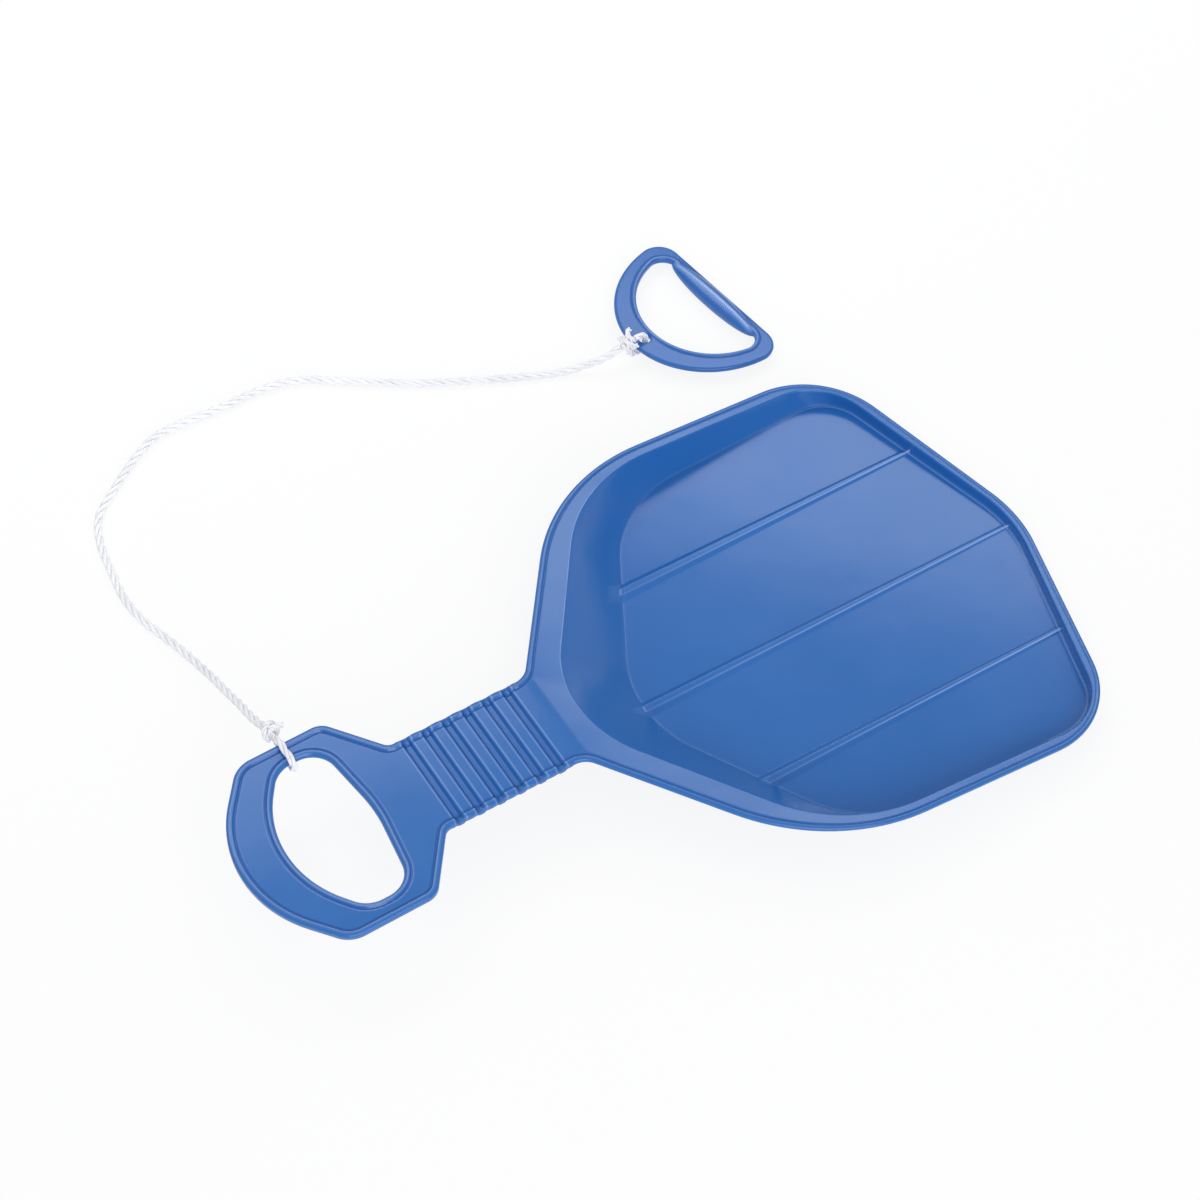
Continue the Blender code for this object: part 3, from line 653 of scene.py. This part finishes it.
# %% The wall, from the flange to the floor
WALL_BEND = 0.0010
REAR_BEND = 0.0034  # how much longer the bend is along the rear edges
FOOT_BEND = 0.0008
BEND_SHARES = (0.2, 0.35, 0.5, 0.65, 0.8)
FLOOR_INSETS = (0.0006, 0.0014)  # the last rings, on the floor inside the wall's foot
GUARD = 0.0002  # keeps one ring clear of the next
RIB_ROW_Z = 0.0065  # a row of the wall's vertices lies at this height, over the ribs' ends
LOW_SHARE = (0.3, 0.96)  # that row's limits, as shares of the way down the wall
LOW_ROWS = 10  # the ribs' lines are cut into the rows from this one down
FLANGE_SLOPE = 0.085
FLANGE_SINK = 0.0013
BORDER_WIDTH = BORDER_TOP[-1][0] * MM
RIM_SIDE = [Vector((side * x, y)) for side in (1, -1) for x, y, radius in RIM[1:4][::side]]


def flange_sink(place):
    """The flange slopes a little into the pan, so the wall's top lies lower where it is wide."""
    sides = zip(RIM_SIDE, RIM_SIDE[1:])
    to_rim = min((place.xy - intersect_point_line(place.xy, *side)[0].xy).length for side in sides)
    width = to_rim - BORDER_WIDTH * border_share(place.y)
    return min(FLANGE_SINK, max(0.0, FLANGE_SLOPE * width * smooth_step(0.060, -0.020, place.y)))


def head_bend(y):
    """The wall turns over more gently along the rear edges."""
    return WALL_BEND + REAR_BEND * smooth_step(*REAR_BLEND, y)


def crease_highlight(place):
    """A painted highlight on the wall's top edge: strong in front on the left, and faint elsewhere."""
    left = smooth_step(0.020, -0.060, place.x)
    return 0.06 + 0.34 * left * smooth_step(0.060, -0.060, place.y)


def foot_highlight(place):
    """A thin painted highlight runs along the wall's foot, plainest at the rear."""
    return 0.04 + 0.48 * smooth_step(*REAR_BLEND, place.y)


def bend(start, corner, end, share):
    """A place on the curve that rounds a corner."""
    return start.lerp(corner, share).lerp(corner.lerp(end, share), share)


def wall_rings(bm, ring, outwards, tops, foots, row_z):
    """Extrude the wall from the flange's ring down to the floor, and close the floor."""
    starts = []
    for top, out in zip(tops, outwards):
        place = top + out * WALL_BEND
        starts.append(Vector((*place.xy, top.z + plate_height(place.y) - plate_height(top.y))))
    downs = [(foot - top).normalized() for top, foot in zip(tops, foots)]
    heads = [top + down * head_bend(top.y) for top, down in zip(tops, downs)]
    tails = [foot - down * FOOT_BEND for foot, down in zip(foots, downs)]
    inner = [foot - out * FOOT_BEND for foot, out in zip(foots, outwards)]
    lows = []
    for head, tail in zip(heads, tails):
        share = (head.z - row_z) / (head.z - tail.z)
        lows.append(head.lerp(tail, min(LOW_SHARE[1], max(LOW_SHARE[0], share))))
    rows = [starts]
    rows += [[bend(*corner, share) for corner in zip(starts, tops, heads)] for share in BEND_SHARES]
    rows.append(heads)
    rows += [[head.lerp(low, quarter / 4) for head, low in zip(heads, lows)] for quarter in range(1, 5)]
    rows.append(tails)
    rows += [[bend(*corner, share) for corner in zip(tails, foots, inner)] for share in BEND_SHARES]
    rows.append(inner)
    rows += [[place - out * inset for place, out in zip(inner, outwards)] for inset in FLOOR_INSETS]
    # Painted highlights on the wall's top crease and along its foot
    painted_lights = {1: [crease_highlight(top) for top in tops], len(rows) - 2: [foot_highlight(foot) for foot in foots]}
    made = [ring]
    for index, row in enumerate(rows):
        made.append(next_ring(bm, made[-1], row, painted_lights.get(index)))
    bmesh.ops.contextual_create(bm, geom=ring_edges(bm, made[-1]))
    return made[1:]


# %% Both skins of the pan
def inner_wall():
    """Where the wall starts and ends on the inner skin, and the direction out of it."""
    marker = bmesh.new()
    ring, outwards = add_outline(marker, WALL_TOP, 0.0)
    tops = []
    for place in (vert.co for vert in ring):
        drop = PLATE_DROP * plate_drop_share(place.y) + flange_sink(place)
        tops.append(Vector((*place.xy, plate_height(place.y) - drop)))
    foots = [vert.co.copy() for vert in add_outline(marker, WALL_FOOT, SHEET)[0]]
    marker.free()
    return tops, foots, outwards


def outer_wall(tops, foots, outwards):
    """The outer skin of the wall lies a sheet's thickness outside the inner one."""
    outer_tops = []
    outer_foots = []
    for top, foot, out in zip(tops, foots, outwards):
        run = (top.xy - foot.xy).length
        length = (top - foot).length
        shift = out * (SHEET * (1 - run / length) / ((top.z - foot.z) / length))
        height = plate_height(top.y) - SHEET - flange_sink(top)
        outer_tops.append(Vector((*top.xy, height)) + shift)
        outer_foots.append(Vector((*foot.xy, 0.0)) + shift)
    return outer_tops, outer_foots


# %% The ribs along the floor
RIB_XS = (-0.0900, 0.0, 0.0900)
RIB_FRONT_Y = {-0.0900: -0.0720, 0.0: -0.1080, 0.0900: -0.0720}
RIB_REAR_Y = 0.1700
RIB_FRONT_HALF = 0.0066
RIB_REAR_HALF = 0.0024
RIB_FRONT_RISE = 0.0026
RIB_REAR_RISE = 0.0012
RIB_CREST_SHARE = 0.36
# Each line lies at a share of the rib's half width, and so far outside that.
RIB_LINES = ((1.0, 0.0022), (1.0, 0.0012), (1.0, 0.0003), (1.0, 0.0), (0.94, 0.0),
             (RIB_CREST_SHARE, 0.0008), (RIB_CREST_SHARE, 0.0), (RIB_CREST_SHARE, -0.0008))
# The ribs' pale lines are painted highlights
RIB_FOOT_LINE = 0.0012  # how far outside its foot a rib's pale line runs
RIB_LINE_HALF = 0.0008


def rib_share(rib_x, y):
    """How far along a rib from its front to its rear."""
    return (y - RIB_FRONT_Y[rib_x]) / (RIB_REAR_Y - RIB_FRONT_Y[rib_x])


def rib_half(share):
    return RIB_FRONT_HALF + (RIB_REAR_HALF - RIB_FRONT_HALF) * share


def rib_roof(rib_x, x, y):
    """Height of a rib's roof over the floor."""
    share = rib_share(rib_x, y)
    half = rib_half(share)
    rise = RIB_FRONT_RISE + (RIB_REAR_RISE - RIB_FRONT_RISE) * share
    across = abs(x - rib_x) / half
    return rise * min(1.0, (1.0 - across) / (1.0 - RIB_CREST_SHARE))


def rib_highlights(rib_x, x, y):
    """Painted highlights along a rib's right crest and just outside both its feet."""
    half = rib_half(min(1.0, max(0.0, rib_share(rib_x, y))))
    rear = smooth_step(0.0, 0.070, y)
    lines = ((RIB_CREST_SHARE * half, 0.18 + 0.70 * rear),
             (half + RIB_FOOT_LINE, 0.10 + 0.10 * rear), (-half - RIB_FOOT_LINE, 0.10 * rear))
    return sum(painted_light * max(0.0, 1.0 - abs(x - rib_x - middle) / RIB_LINE_HALF)
               for middle, painted_light in lines)


def raise_ribs(bm, faces):
    """Cut each rib's lines into the floor and lift what lies between them."""
    layer = bm.verts.layers.float["painted_light"]
    cut = list(faces)
    for rib_x in RIB_XS:
        for side in (-1, 1):
            for factor, extra in RIB_LINES:
                front = rib_x + side * (RIB_FRONT_HALF * factor + extra)
                rear = rib_x + side * (RIB_REAR_HALF * factor + extra)
                along = Vector((rear - front, RIB_REAR_Y - RIB_FRONT_Y[rib_x], 0.0))
                across = Vector((along.y, -along.x, 0.0)).normalized()
                geom = {part for face in cut for part in (face, *face.edges, *face.verts)}
                made = bmesh.ops.bisect_plane(bm, geom=list(geom), dist=1e-6, plane_no=across,
                                              plane_co=(front, RIB_FRONT_Y[rib_x], 0.0))
                cut = [item for item in made["geom"] if isinstance(item, bmesh.types.BMFace)]
        cut = [face for face in cut if face.is_valid]
    for vert in {vert for face in cut for vert in face.verts}:
        rib_x = min(RIB_XS, key=lambda middle: abs(middle - vert.co.x))
        roof = SHEET + rib_roof(rib_x, vert.co.x, vert.co.y)
        vert.co.z = max(vert.co.z, roof)
        # Painted highlights along the rib's crest and beside its feet
        if vert.co.z < roof + GUARD:
            vert[layer] += rib_highlights(rib_x, vert.co.x, vert.co.y)


# %% Build the moulding
def level_with(ring, places, outwards, outset):
    """Move a flat ring to just outside the places, at its own height."""
    for vert, place, out in zip(ring, places, outwards):
        vert.co.xy = (place + out * outset).xy


def open_edges(bm):
    return sum(not edge.is_manifold for edge in bm.edges)


def make_moulding(name):
    tops, foots, outwards = inner_wall()
    outer_tops, outer_foots = outer_wall(tops, foots, outwards)
    bm = bmesh.new()
    # A value at each vertex: painted highlights above zero, painted shade below zero
    bm.verts.layers.float.new("painted_light")
    top_rings, under_rings = flat_sheet(bm)
    level_with(top_rings[-1], tops, outwards, WALL_BEND + GUARD)
    level_with(under_rings[-1], outer_tops, outwards, WALL_BEND + GUARD)
    fill_and_lift(bm, top_rings, under_rings)
    for ring in (top_rings[-1], under_rings[-1]):
        for vert, top in zip(ring, tops):
            vert.co.z -= flange_sink(top)
    rows = wall_rings(bm, top_rings[-1], outwards, tops, foots, RIB_ROW_Z)
    low_verts = {vert for row in rows[LOW_ROWS:] for vert in row}
    raise_ribs(bm, [face for face in bm.faces if all(vert in low_verts for vert in face.verts)])
    wall_rings(bm, under_rings[-1], outwards, outer_tops, outer_foots, RIB_ROW_Z - SHEET)
    bmesh.ops.recalc_face_normals(bm, faces=bm.faces[:])
    print(name, "has", len(bm.faces), "faces and", open_edges(bm), "open edges")
    mesh = mesh_from(bm, name)
    mesh.shade_smooth()
    return placed(name, mesh)


sled_moulding = make_moulding("sled_moulding")

# %% [markdown]
# ## The pull grip
#
# The grip is a flat D with a raised bead round the hand's opening and a bar that swells in the middle.
# On the real one these forms flow into each other. So three closed forms are made first: the plate,
# the bead and the bar. A voxel remesh then melts them into one skin, and a little smoothing rounds
# the seams between them.

# %% Outlines of the grip
GRIP_D = (0.0670, 0.0747, -0.0086, 0.0163)  # half width, depth, foot's Y and corner radius
HAND_D = (0.0542, 0.0565, -0.00005, 0.0120)
ROPE_HOLE_Y = 0.0649
ROPE_HOLE_RADIUS = 0.0042
HOLE_STEPS = 32
BOW_STEPS = 72
FOOT_STEPS = 10


def add_d(bm, half_width, depth, edge_y, corner):
    """A closed D, bow upwards: a squeezed arc and two round corners at its foot."""
    low = math.asin((edge_y + corner) / depth)
    bow = spun(bm, (math.cos(low), math.sin(low), 0.0), (0.0, 0.0, 0.0), math.pi - 2 * low, BOW_STEPS)
    bmesh.ops.scale(bm, vec=(half_width, depth, 1.0), verts=bow)
    foot_x = half_width * math.cos(low)
    left = spun(bm, (-foot_x, edge_y + corner, 0.0), (corner - foot_x, edge_y + corner, 0.0),
                math.pi / 2, FOOT_STEPS)
    right = spun(bm, (foot_x - corner, edge_y, 0.0), (foot_x - corner, edge_y + corner, 0.0),
                 math.pi / 2, FOOT_STEPS)
    for ends in (bow[-1:] + left[:1], bow[:1] + right[-1:]):
        bmesh.ops.remove_doubles(bm, verts=ends, dist=1e-7)
    ring = [vert for vert in bow + left + right if vert.is_valid]
    for index, vert in enumerate(ring):
        if bm.edges.get((ring[index - 1], vert)) is None:
            bm.edges.new((ring[index - 1], vert))
    return ring, ring_outwards(ring)


def ring_outwards(ring):
    """The direction out of a counter-clockwise ring at each vertex."""
    outwards = []
    for index, vert in enumerate(ring):
        back = (vert.co - ring[index - 1].co).normalized()
        onward = (ring[(index + 1) % len(ring)].co - vert.co).normalized()
        along = (back + onward).normalized()
        outwards.append(Vector((along.y, -along.x, 0.0)))
    return outwards


# %% Plate, bead and bar
# These three profiles are in millimetres too.
EDGE_ROUND = ((0.0, 0.8), (0.4, 1.6), (1.0, 2.1), (1.8, 2.25), (2.2, 2.25))
HOLE_ROUND = ((0.0, 1.7), (0.4, 2.15), (0.8, 2.25))
BEAD = ((0.0, 1.2), (0.15, 2.3), (0.7, 3.3), (1.5, 3.8), (2.2, 3.8), (2.9, 3.3), (3.3, 2.4),
        (3.3, 1.2), (2.2, 0.4), (0.9, 0.4))
BAR_LENGTH = 0.0900
BAR_WIDTH = 0.0145
BAR_THICKNESS = 0.0140
VOXEL = 0.00055
SMOOTH_TURNS = 5


def rounded_edge(bm, ring, outwards, inward, profile):
    """Rings over and under an edge; the last of each is where the flat face starts."""
    directions = [out * inward for out in outwards]
    sides = ([(inset, side * height) for inset, height in profile] for side in (1.0, -1.0))
    return [add_rings(bm, ring, directions, heights) for heights in sides]


def grip_plate(bm):
    """The flat plate, with the hand's opening and the rope's hole cut through it."""
    rim_faces = rounded_edge(bm, *add_d(bm, *GRIP_D), 1.0, EDGE_ROUND)
    hand_faces = rounded_edge(bm, *add_d(bm, *HAND_D), -1.0, EDGE_ROUND)
    most = HOLE_STEPS - 1
    hole = spun(bm, (ROPE_HOLE_RADIUS, ROPE_HOLE_Y, 0.0), (0.0, ROPE_HOLE_Y, 0.0),
                2 * math.pi * most / HOLE_STEPS, most)
    bm.edges.new((hole[-1], hole[0]))
    hole_faces = rounded_edge(bm, hole, ring_outwards(hole), -1.0, HOLE_ROUND)
    for rings, up in zip(zip(rim_faces, hand_faces, hole_faces), (1.0, -1.0)):
        edges = [edge for ring in rings for edge in ring_edges(bm, ring)]
        bmesh.ops.triangle_fill(bm, use_beauty=True, edges=edges, normal=(0.0, 0.0, up))


def opening_bead(bm):
    """A closed tube of the bead's section, round the hand's opening."""
    hand, outwards = add_d(bm, *HAND_D)
    inwards = [-out for out in outwards]
    last = add_rings(bm, hand, inwards, BEAD[1:])
    for vert, place in zip(hand, inset_places(hand, inwards, *BEAD[0])):
        vert.co = place
    bmesh.ops.bridge_loops(bm, edges=ring_edges(bm, hand) + ring_edges(bm, last))


def grip_bar(bm):
    """The bar, a long egg that is thickest in the middle."""
    along_x = Matrix.Rotation(math.pi / 2, 4, 'Y')
    stretch = Matrix.Diagonal((BAR_LENGTH, BAR_WIDTH, BAR_THICKNESS, 1.0))
    bmesh.ops.create_uvsphere(bm, u_segments=48, v_segments=40, radius=0.5, matrix=stretch @ along_x)


# %% Painted highlights and shade on the grip
# Painted highlight and shade by the distance outside the opening's edge, and by that across the bar, in
# millimetres.
GRIP_PAINTED_LIGHT = ((-0.2, 0.0), (0.7, 0.0), (1.5, 0.25), (2.3, 0.25), (3.0, -0.1), (3.7, -0.5),
             (4.3, -0.4), (5.2, 0.0))
RIDGE_PAINTED_LIGHT = ((-8.0, -0.35), (-3.0, -0.30), (-1.0, 0.30), (0.4, 0.85), (1.8, 0.30), (3.4, 0.0),
              (8.0, 0.0))


def mark_grip(bm):
    """Painted highlights on the bead's crest and the bar's ridge, and painted shade in a line outside
    the bead.
    """
    layer = bm.verts.layers.float.new("painted_light")
    marker = bmesh.new()
    ring, outwards = add_d(marker, *HAND_D)
    tree = KDTree(len(ring))
    for index, vert in enumerate(ring):
        tree.insert(vert.co, index)
    tree.balance()
    for vert in bm.verts:
        x, y, z = vert.co
        if z > 0.0:
            near, index = tree.find((x, y, 0.0))[:2]
            on_bar = smooth_step(0.012, 0.006, abs(y))
            on_bar *= smooth_step(BAR_LENGTH / 2, BAR_LENGTH * 0.4, abs(x))
            outside = outwards[index].dot(Vector((x, y, 0.0)) - near)
            vert[layer] = (1 - on_bar) * read_profile(GRIP_PAINTED_LIGHT, outside)
            vert[layer] += on_bar * read_profile(RIDGE_PAINTED_LIGHT, y)
    marker.free()


# %% Melt them into one skin and lay the grip down
def make_grip(name):
    bm = bmesh.new()
    for build in (grip_plate, opening_bead, grip_bar):
        form = bmesh.new()
        build(form)
        bmesh.ops.recalc_face_normals(form, faces=form.faces[:])
        print(build.__name__, "has", len(form.faces), "faces and", open_edges(form), "open edges")
        piece = mesh_from(form, build.__name__)
        bm.from_mesh(piece)
        bpy.data.meshes.remove(piece)
    mesh = mesh_from(bm, name)
    grip = placed(name, mesh)
    melt = grip.modifiers.new("Melt", 'REMESH')
    melt.mode = 'VOXEL'
    melt.voxel_size = VOXEL
    evaluated = grip.evaluated_get(bpy.context.evaluated_depsgraph_get())
    skin = bpy.data.meshes.new_from_object(evaluated)
    grip.modifiers.clear()
    bm = bmesh.new()
    bm.from_mesh(skin)
    for turn in range(SMOOTH_TURNS):
        bmesh.ops.smooth_vert(bm, verts=bm.verts[:], factor=0.5, use_axis_x=True, use_axis_y=True,
                              use_axis_z=True)
    mark_grip(bm)
    laid = Matrix.Translation(GRIP_AXIS) @ Matrix.Rotation(GRIP_TURN, 4, 'Z')
    laid = laid @ Matrix.Rotation(-GRIP_DIP, 4, 'X') @ Matrix.Translation((0.0, BAR_TO_AXIS, 0.0))
    bmesh.ops.transform(bm, matrix=laid @ Matrix.Rotation(math.pi, 4, 'Z'), verts=bm.verts[:])
    bm.to_mesh(mesh)
    bm.free()
    bpy.data.meshes.remove(skin)
    mesh.shade_smooth()
    print(name, "has", len(mesh.polygons), "faces")
    return grip


grip = make_grip("grip")

# %% [markdown]
# ## The plastic
#
# The sled is satin polyethylene, coloured right through. A flat blue would look like paint, so the
# material gets what a real moulding has: a colour and a gloss that drift a little from place to
# place, a fine orange-peel skin, and slow waves from uneven cooling. All of it is worked out from
# the place on the object.

# %% Helpers for node materials
def new_material(name):
    """A material with its shader, its node tree and its object coordinates."""
    material = bpy.data.materials.new(name)
    material.use_nodes = True
    tree = material.node_tree
    shader = tree.nodes["Principled BSDF"]
    place = tree.nodes.new("ShaderNodeTexCoord")
    return material, tree, shader, place


def add_node(tree, kind, values, links):
    """A new node, with some sockets set to values and others linked to outputs."""
    node = tree.nodes.new("ShaderNode" + kind)
    if kind == "Mix":
        node.data_type = 'RGBA'
    for socket, value in values.items():
        node.inputs[socket].default_value = value
    for socket, output in links.items():
        tree.links.new(output, node.inputs[socket])
    return node


def noise(tree, coordinates, scale, detail=3.0, roughness=0.5):
    """A noise texture that reads the coordinates, in metres."""
    values = {"Scale": scale, "Detail": detail, "Roughness": roughness}
    return add_node(tree, "TexNoise", values, {"Vector": coordinates}).outputs["Fac"]


def remap(tree, value, low, high, start=0.0, end=1.0):
    """Stretch a value from one range to another."""
    values = {"From Min": low, "From Max": high, "To Min": start, "To Max": end}
    return add_node(tree, "MapRange", values, {"Value": value}).outputs["Result"]


def between(tree, factor, first, second):
    """A colour between two, by a factor."""
    values = {"A": (*first, 1.0), "B": (*second, 1.0)}
    return add_node(tree, "Mix", values, {"Factor": factor}).outputs["Result"]


def tinted(tree, factor, colour, tint):
    """A colour from another node, turned towards a tint by a factor."""
    links = {"A": colour, "Factor": factor}
    return add_node(tree, "Mix", {"B": (*tint, 1.0)}, links).outputs["Result"]


def bump(tree, height, distance, strength=1.0, earlier=None):
    """Bump from a height, over an earlier bump if one is given."""
    values = {"Distance": distance, "Strength": strength}
    links = {"Height": height}
    if earlier:
        links["Normal"] = earlier
    return add_node(tree, "Bump", values, links).outputs["Normal"]


# %% Blue moulded plastic
# Colours of the painted highlights on crests and of the painted shade in grooves
HIGHLIGHT_TINT = (0.34, 0.48, 0.80)
SHADE_TINT = (0.008, 0.066, 0.290)
DRIFT_SCALE = 9.0  # these four are noise scales, in features to a metre
RUB_SCALE = 18.0
WAVE_SCALE = 17.0
SKIN_SCALE = 160.0
SKIN_DEPTH = 0.00006
RUB_RANGE = 0.08


def moulded_plastic(name, deep, pale, roughness, waviness):
    material, tree, shader, place = new_material(name)
    where = place.outputs["Object"]
    drift = remap(tree, noise(tree, where, DRIFT_SCALE, 2.0), 0.15, 0.85)
    # Painted highlights and shade: the mesh's value turns crests paler and grooves deeper blue
    painted_light = tree.nodes.new("ShaderNodeAttribute")
    painted_light.attribute_name = "painted_light"
    highlight_share = remap(tree, painted_light.outputs["Fac"], 0.0, 1.0)
    groove = remap(tree, painted_light.outputs["Fac"], 0.0, -1.0)
    highlighted = tinted(tree, highlight_share, between(tree, drift, deep, pale), HIGHLIGHT_TINT)
    tree.links.new(tinted(tree, groove, highlighted, SHADE_TINT), shader.inputs["Base Color"])
    rubbed = remap(tree, noise(tree, where, RUB_SCALE, 2.0), 0.1, 0.9, roughness,
                   roughness + RUB_RANGE)
    tree.links.new(rubbed, shader.inputs["Roughness"])
    waves = bump(tree, noise(tree, where, WAVE_SCALE, 2.0), waviness)
    skin = bump(tree, noise(tree, where, SKIN_SCALE, 2.0), SKIN_DEPTH, 0.5, waves)
    tree.links.new(skin, shader.inputs["Normal"])
    return material


sled_blue = moulded_plastic("blue_plastic_looks", (0.017, 0.128, 0.425), (0.021, 0.141, 0.455),
                            roughness=0.14, waviness=0.0003)
grip_blue = moulded_plastic("grip_plastic_looks", (0.020, 0.126, 0.425), (0.025, 0.138, 0.455),
                            roughness=0.18, waviness=0.0002)
print("materials:", sled_blue.name, grip_blue.name)

# %% [markdown]
# ## The rope's fibres
#
# The cord is white synthetic fibre, and each strand is a bundle of fine filaments along it. The
# strands have a UV map, whose U runs along and V round them, so a noise that is stretched along U
# draws the filaments, with a slight twist. A second noise adds a little soil.

# %% White rope
FIBRE_STRETCH = (40.0, 14.0, 1.0)
FIBRE_TWIST = math.radians(3.0)
FIBRE_DEPTH = 0.0002
SOIL_SCALE = 60.0


def fibre_rope(name):
    material, tree, shader, place = new_material(name)
    stretch = add_node(tree, "Mapping", {"Scale": FIBRE_STRETCH, "Rotation": (0.0, 0.0, FIBRE_TWIST)},
                       {"Vector": place.outputs["UV"]})
    fibres = noise(tree, stretch.outputs["Vector"], 1.0, 3.0, 0.6)
    soil = remap(tree, noise(tree, place.outputs["Object"], SOIL_SCALE, 4.0), 0.40, 0.75)
    soiled = between(tree, soil, (0.92, 0.92, 0.94), (0.84, 0.84, 0.87))
    tree.links.new(soiled, shader.inputs["Base Color"])
    tree.links.new(remap(tree, fibres, 0.3, 0.7, 0.70, 0.92), shader.inputs["Roughness"])
    shader.inputs["Sheen Weight"].default_value = 0.25
    shader.inputs["Sheen Roughness"].default_value = 0.5
    tree.links.new(bump(tree, fibres, FIBRE_DEPTH, 0.7), shader.inputs["Normal"])
    return material


rope_white = fibre_rope("white_rope_looks")

# %% Give every piece its material
for piece in (tow_line, handle_loop, handle_tie, grip_tie, grip_loop):
    piece.data.materials.clear()
    piece.data.materials.append(rope_white)
sled_moulding.data.materials.append(sled_blue)
grip.data.materials.append(grip_blue)

# %% [markdown]
# ## Floor, light and world
#
# The floor is plain and pale. What the camera sees of it is part its own glow and part lit surface,
# so it comes out near white and still takes the sled's soft shadow. A soft light hangs level behind
# the sled on its left, and its mirror image is the broad sheen on the pan. A second one, further to
# the front, does the same for the handle, and a third fills in from the right.

# %% The floor
FLOOR_Z = -0.0003
FLOOR_HALF = 16.0
GLOW_SHARE = 0.86  # share of the floor's own glow in what the camera sees of it


def pale_floor(name):
    material, tree, shader, place = new_material(name)
    tree.nodes.remove(shader)
    grain = remap(tree, noise(tree, place.outputs["Object"], 3.0, 3.0), 0.3, 0.7)
    pale = between(tree, grain, (0.90, 0.90, 0.905), (0.92, 0.92, 0.92))
    lit = add_node(tree, "BsdfDiffuse", {}, {"Color": pale})
    glow = add_node(tree, "Emission", {"Color": (1.0, 1.0, 1.0, 1.0), "Strength": 1.0}, {})
    light_path = tree.nodes.new("ShaderNodeLightPath")
    seen = light_path.outputs["Is Camera Ray"]
    for other in ("Is Glossy Ray", "Is Transmission Ray"):
        either = add_node(tree, "Math", {}, {0: seen, 1: light_path.outputs[other]})
        either.operation = 'MAXIMUM'
        seen = either.outputs["Value"]
    share = remap(tree, seen, 0.0, 1.0, 0.0, GLOW_SHARE)
    mix = add_node(tree, "MixShader", {}, {"Fac": share, 1: lit.outputs["BSDF"],
                                           2: glow.outputs["Emission"]})
    tree.links.new(mix.outputs["Shader"], tree.nodes["Material Output"].inputs["Surface"])
    return material


bm = bmesh.new()
bmesh.ops.create_grid(bm, x_segments=2, y_segments=2, size=FLOOR_HALF,
                      matrix=Matrix.Translation((0.0, 0.0, FLOOR_Z)))
floor = placed("floor", mesh_from(bm, "floor"))
floor.data.materials.append(pale_floor("pale_floor"))

# %% Three soft lights and an even sky
# Each is a name, its place, what it aims at, its two sides, its power and its turn in degrees.
LIGHTS = (("key_light", (-0.785, 0.712, 1.0), (-0.785, 0.712, 0.0), 0.48, 0.90, 3.8, -47.6),
          ("side_light", (-0.88, -0.29, 1.0), (-0.88, -0.29, 0.0), 0.58, 0.92, 4.2, 0.0),
          ("fill_light", (2.0, -0.6, 1.25), (0.0, 0.0, 0.0), 1.8, 1.8, 32.0, 0.0))
SKY_COLOUR = (0.95, 0.97, 1.0, 1.0)
SKY_STRENGTH = 0.59


def soft_light(name, place, target, width, length, power, turn):
    data = bpy.data.lights.new(name, 'AREA')
    data.shape = 'RECTANGLE'
    data.size = width
    data.size_y = length
    data.energy = power
    light = placed(name, data)
    light.location = place
    aim = (Vector(target) - Vector(place)).to_track_quat('-Z', 'Y')
    light.rotation_euler = (aim @ Quaternion(AXIS_Z, math.radians(turn))).to_euler()
    print(name, "gives", power, "W over", round(width * length, 2), "m2")


for row in LIGHTS:
    soft_light(*row)
world = bpy.data.worlds.new("even_sky")
bpy.context.scene.world = world
world.use_nodes = True
sky = world.node_tree.nodes["Background"]
sky.inputs["Color"].default_value = SKY_COLOUR
sky.inputs["Strength"].default_value = SKY_STRENGTH
bpy.context.scene.view_settings.view_transform = 'Standard'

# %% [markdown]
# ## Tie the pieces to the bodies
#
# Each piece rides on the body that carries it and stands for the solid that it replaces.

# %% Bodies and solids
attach(sled_moulding, "sled")
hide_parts("sled_shell")
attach(handle_loop, "sled")
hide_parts("handle_eye")
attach(handle_tie, "sled")
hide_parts("handle_knot")
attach(tow_line, "rope")
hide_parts("tow_rope")
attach(grip_loop, "rope")
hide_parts("grip_eye")
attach(grip_tie, "rope")
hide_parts("grip_knot")
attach(grip, "grip")
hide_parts("pull_grip")
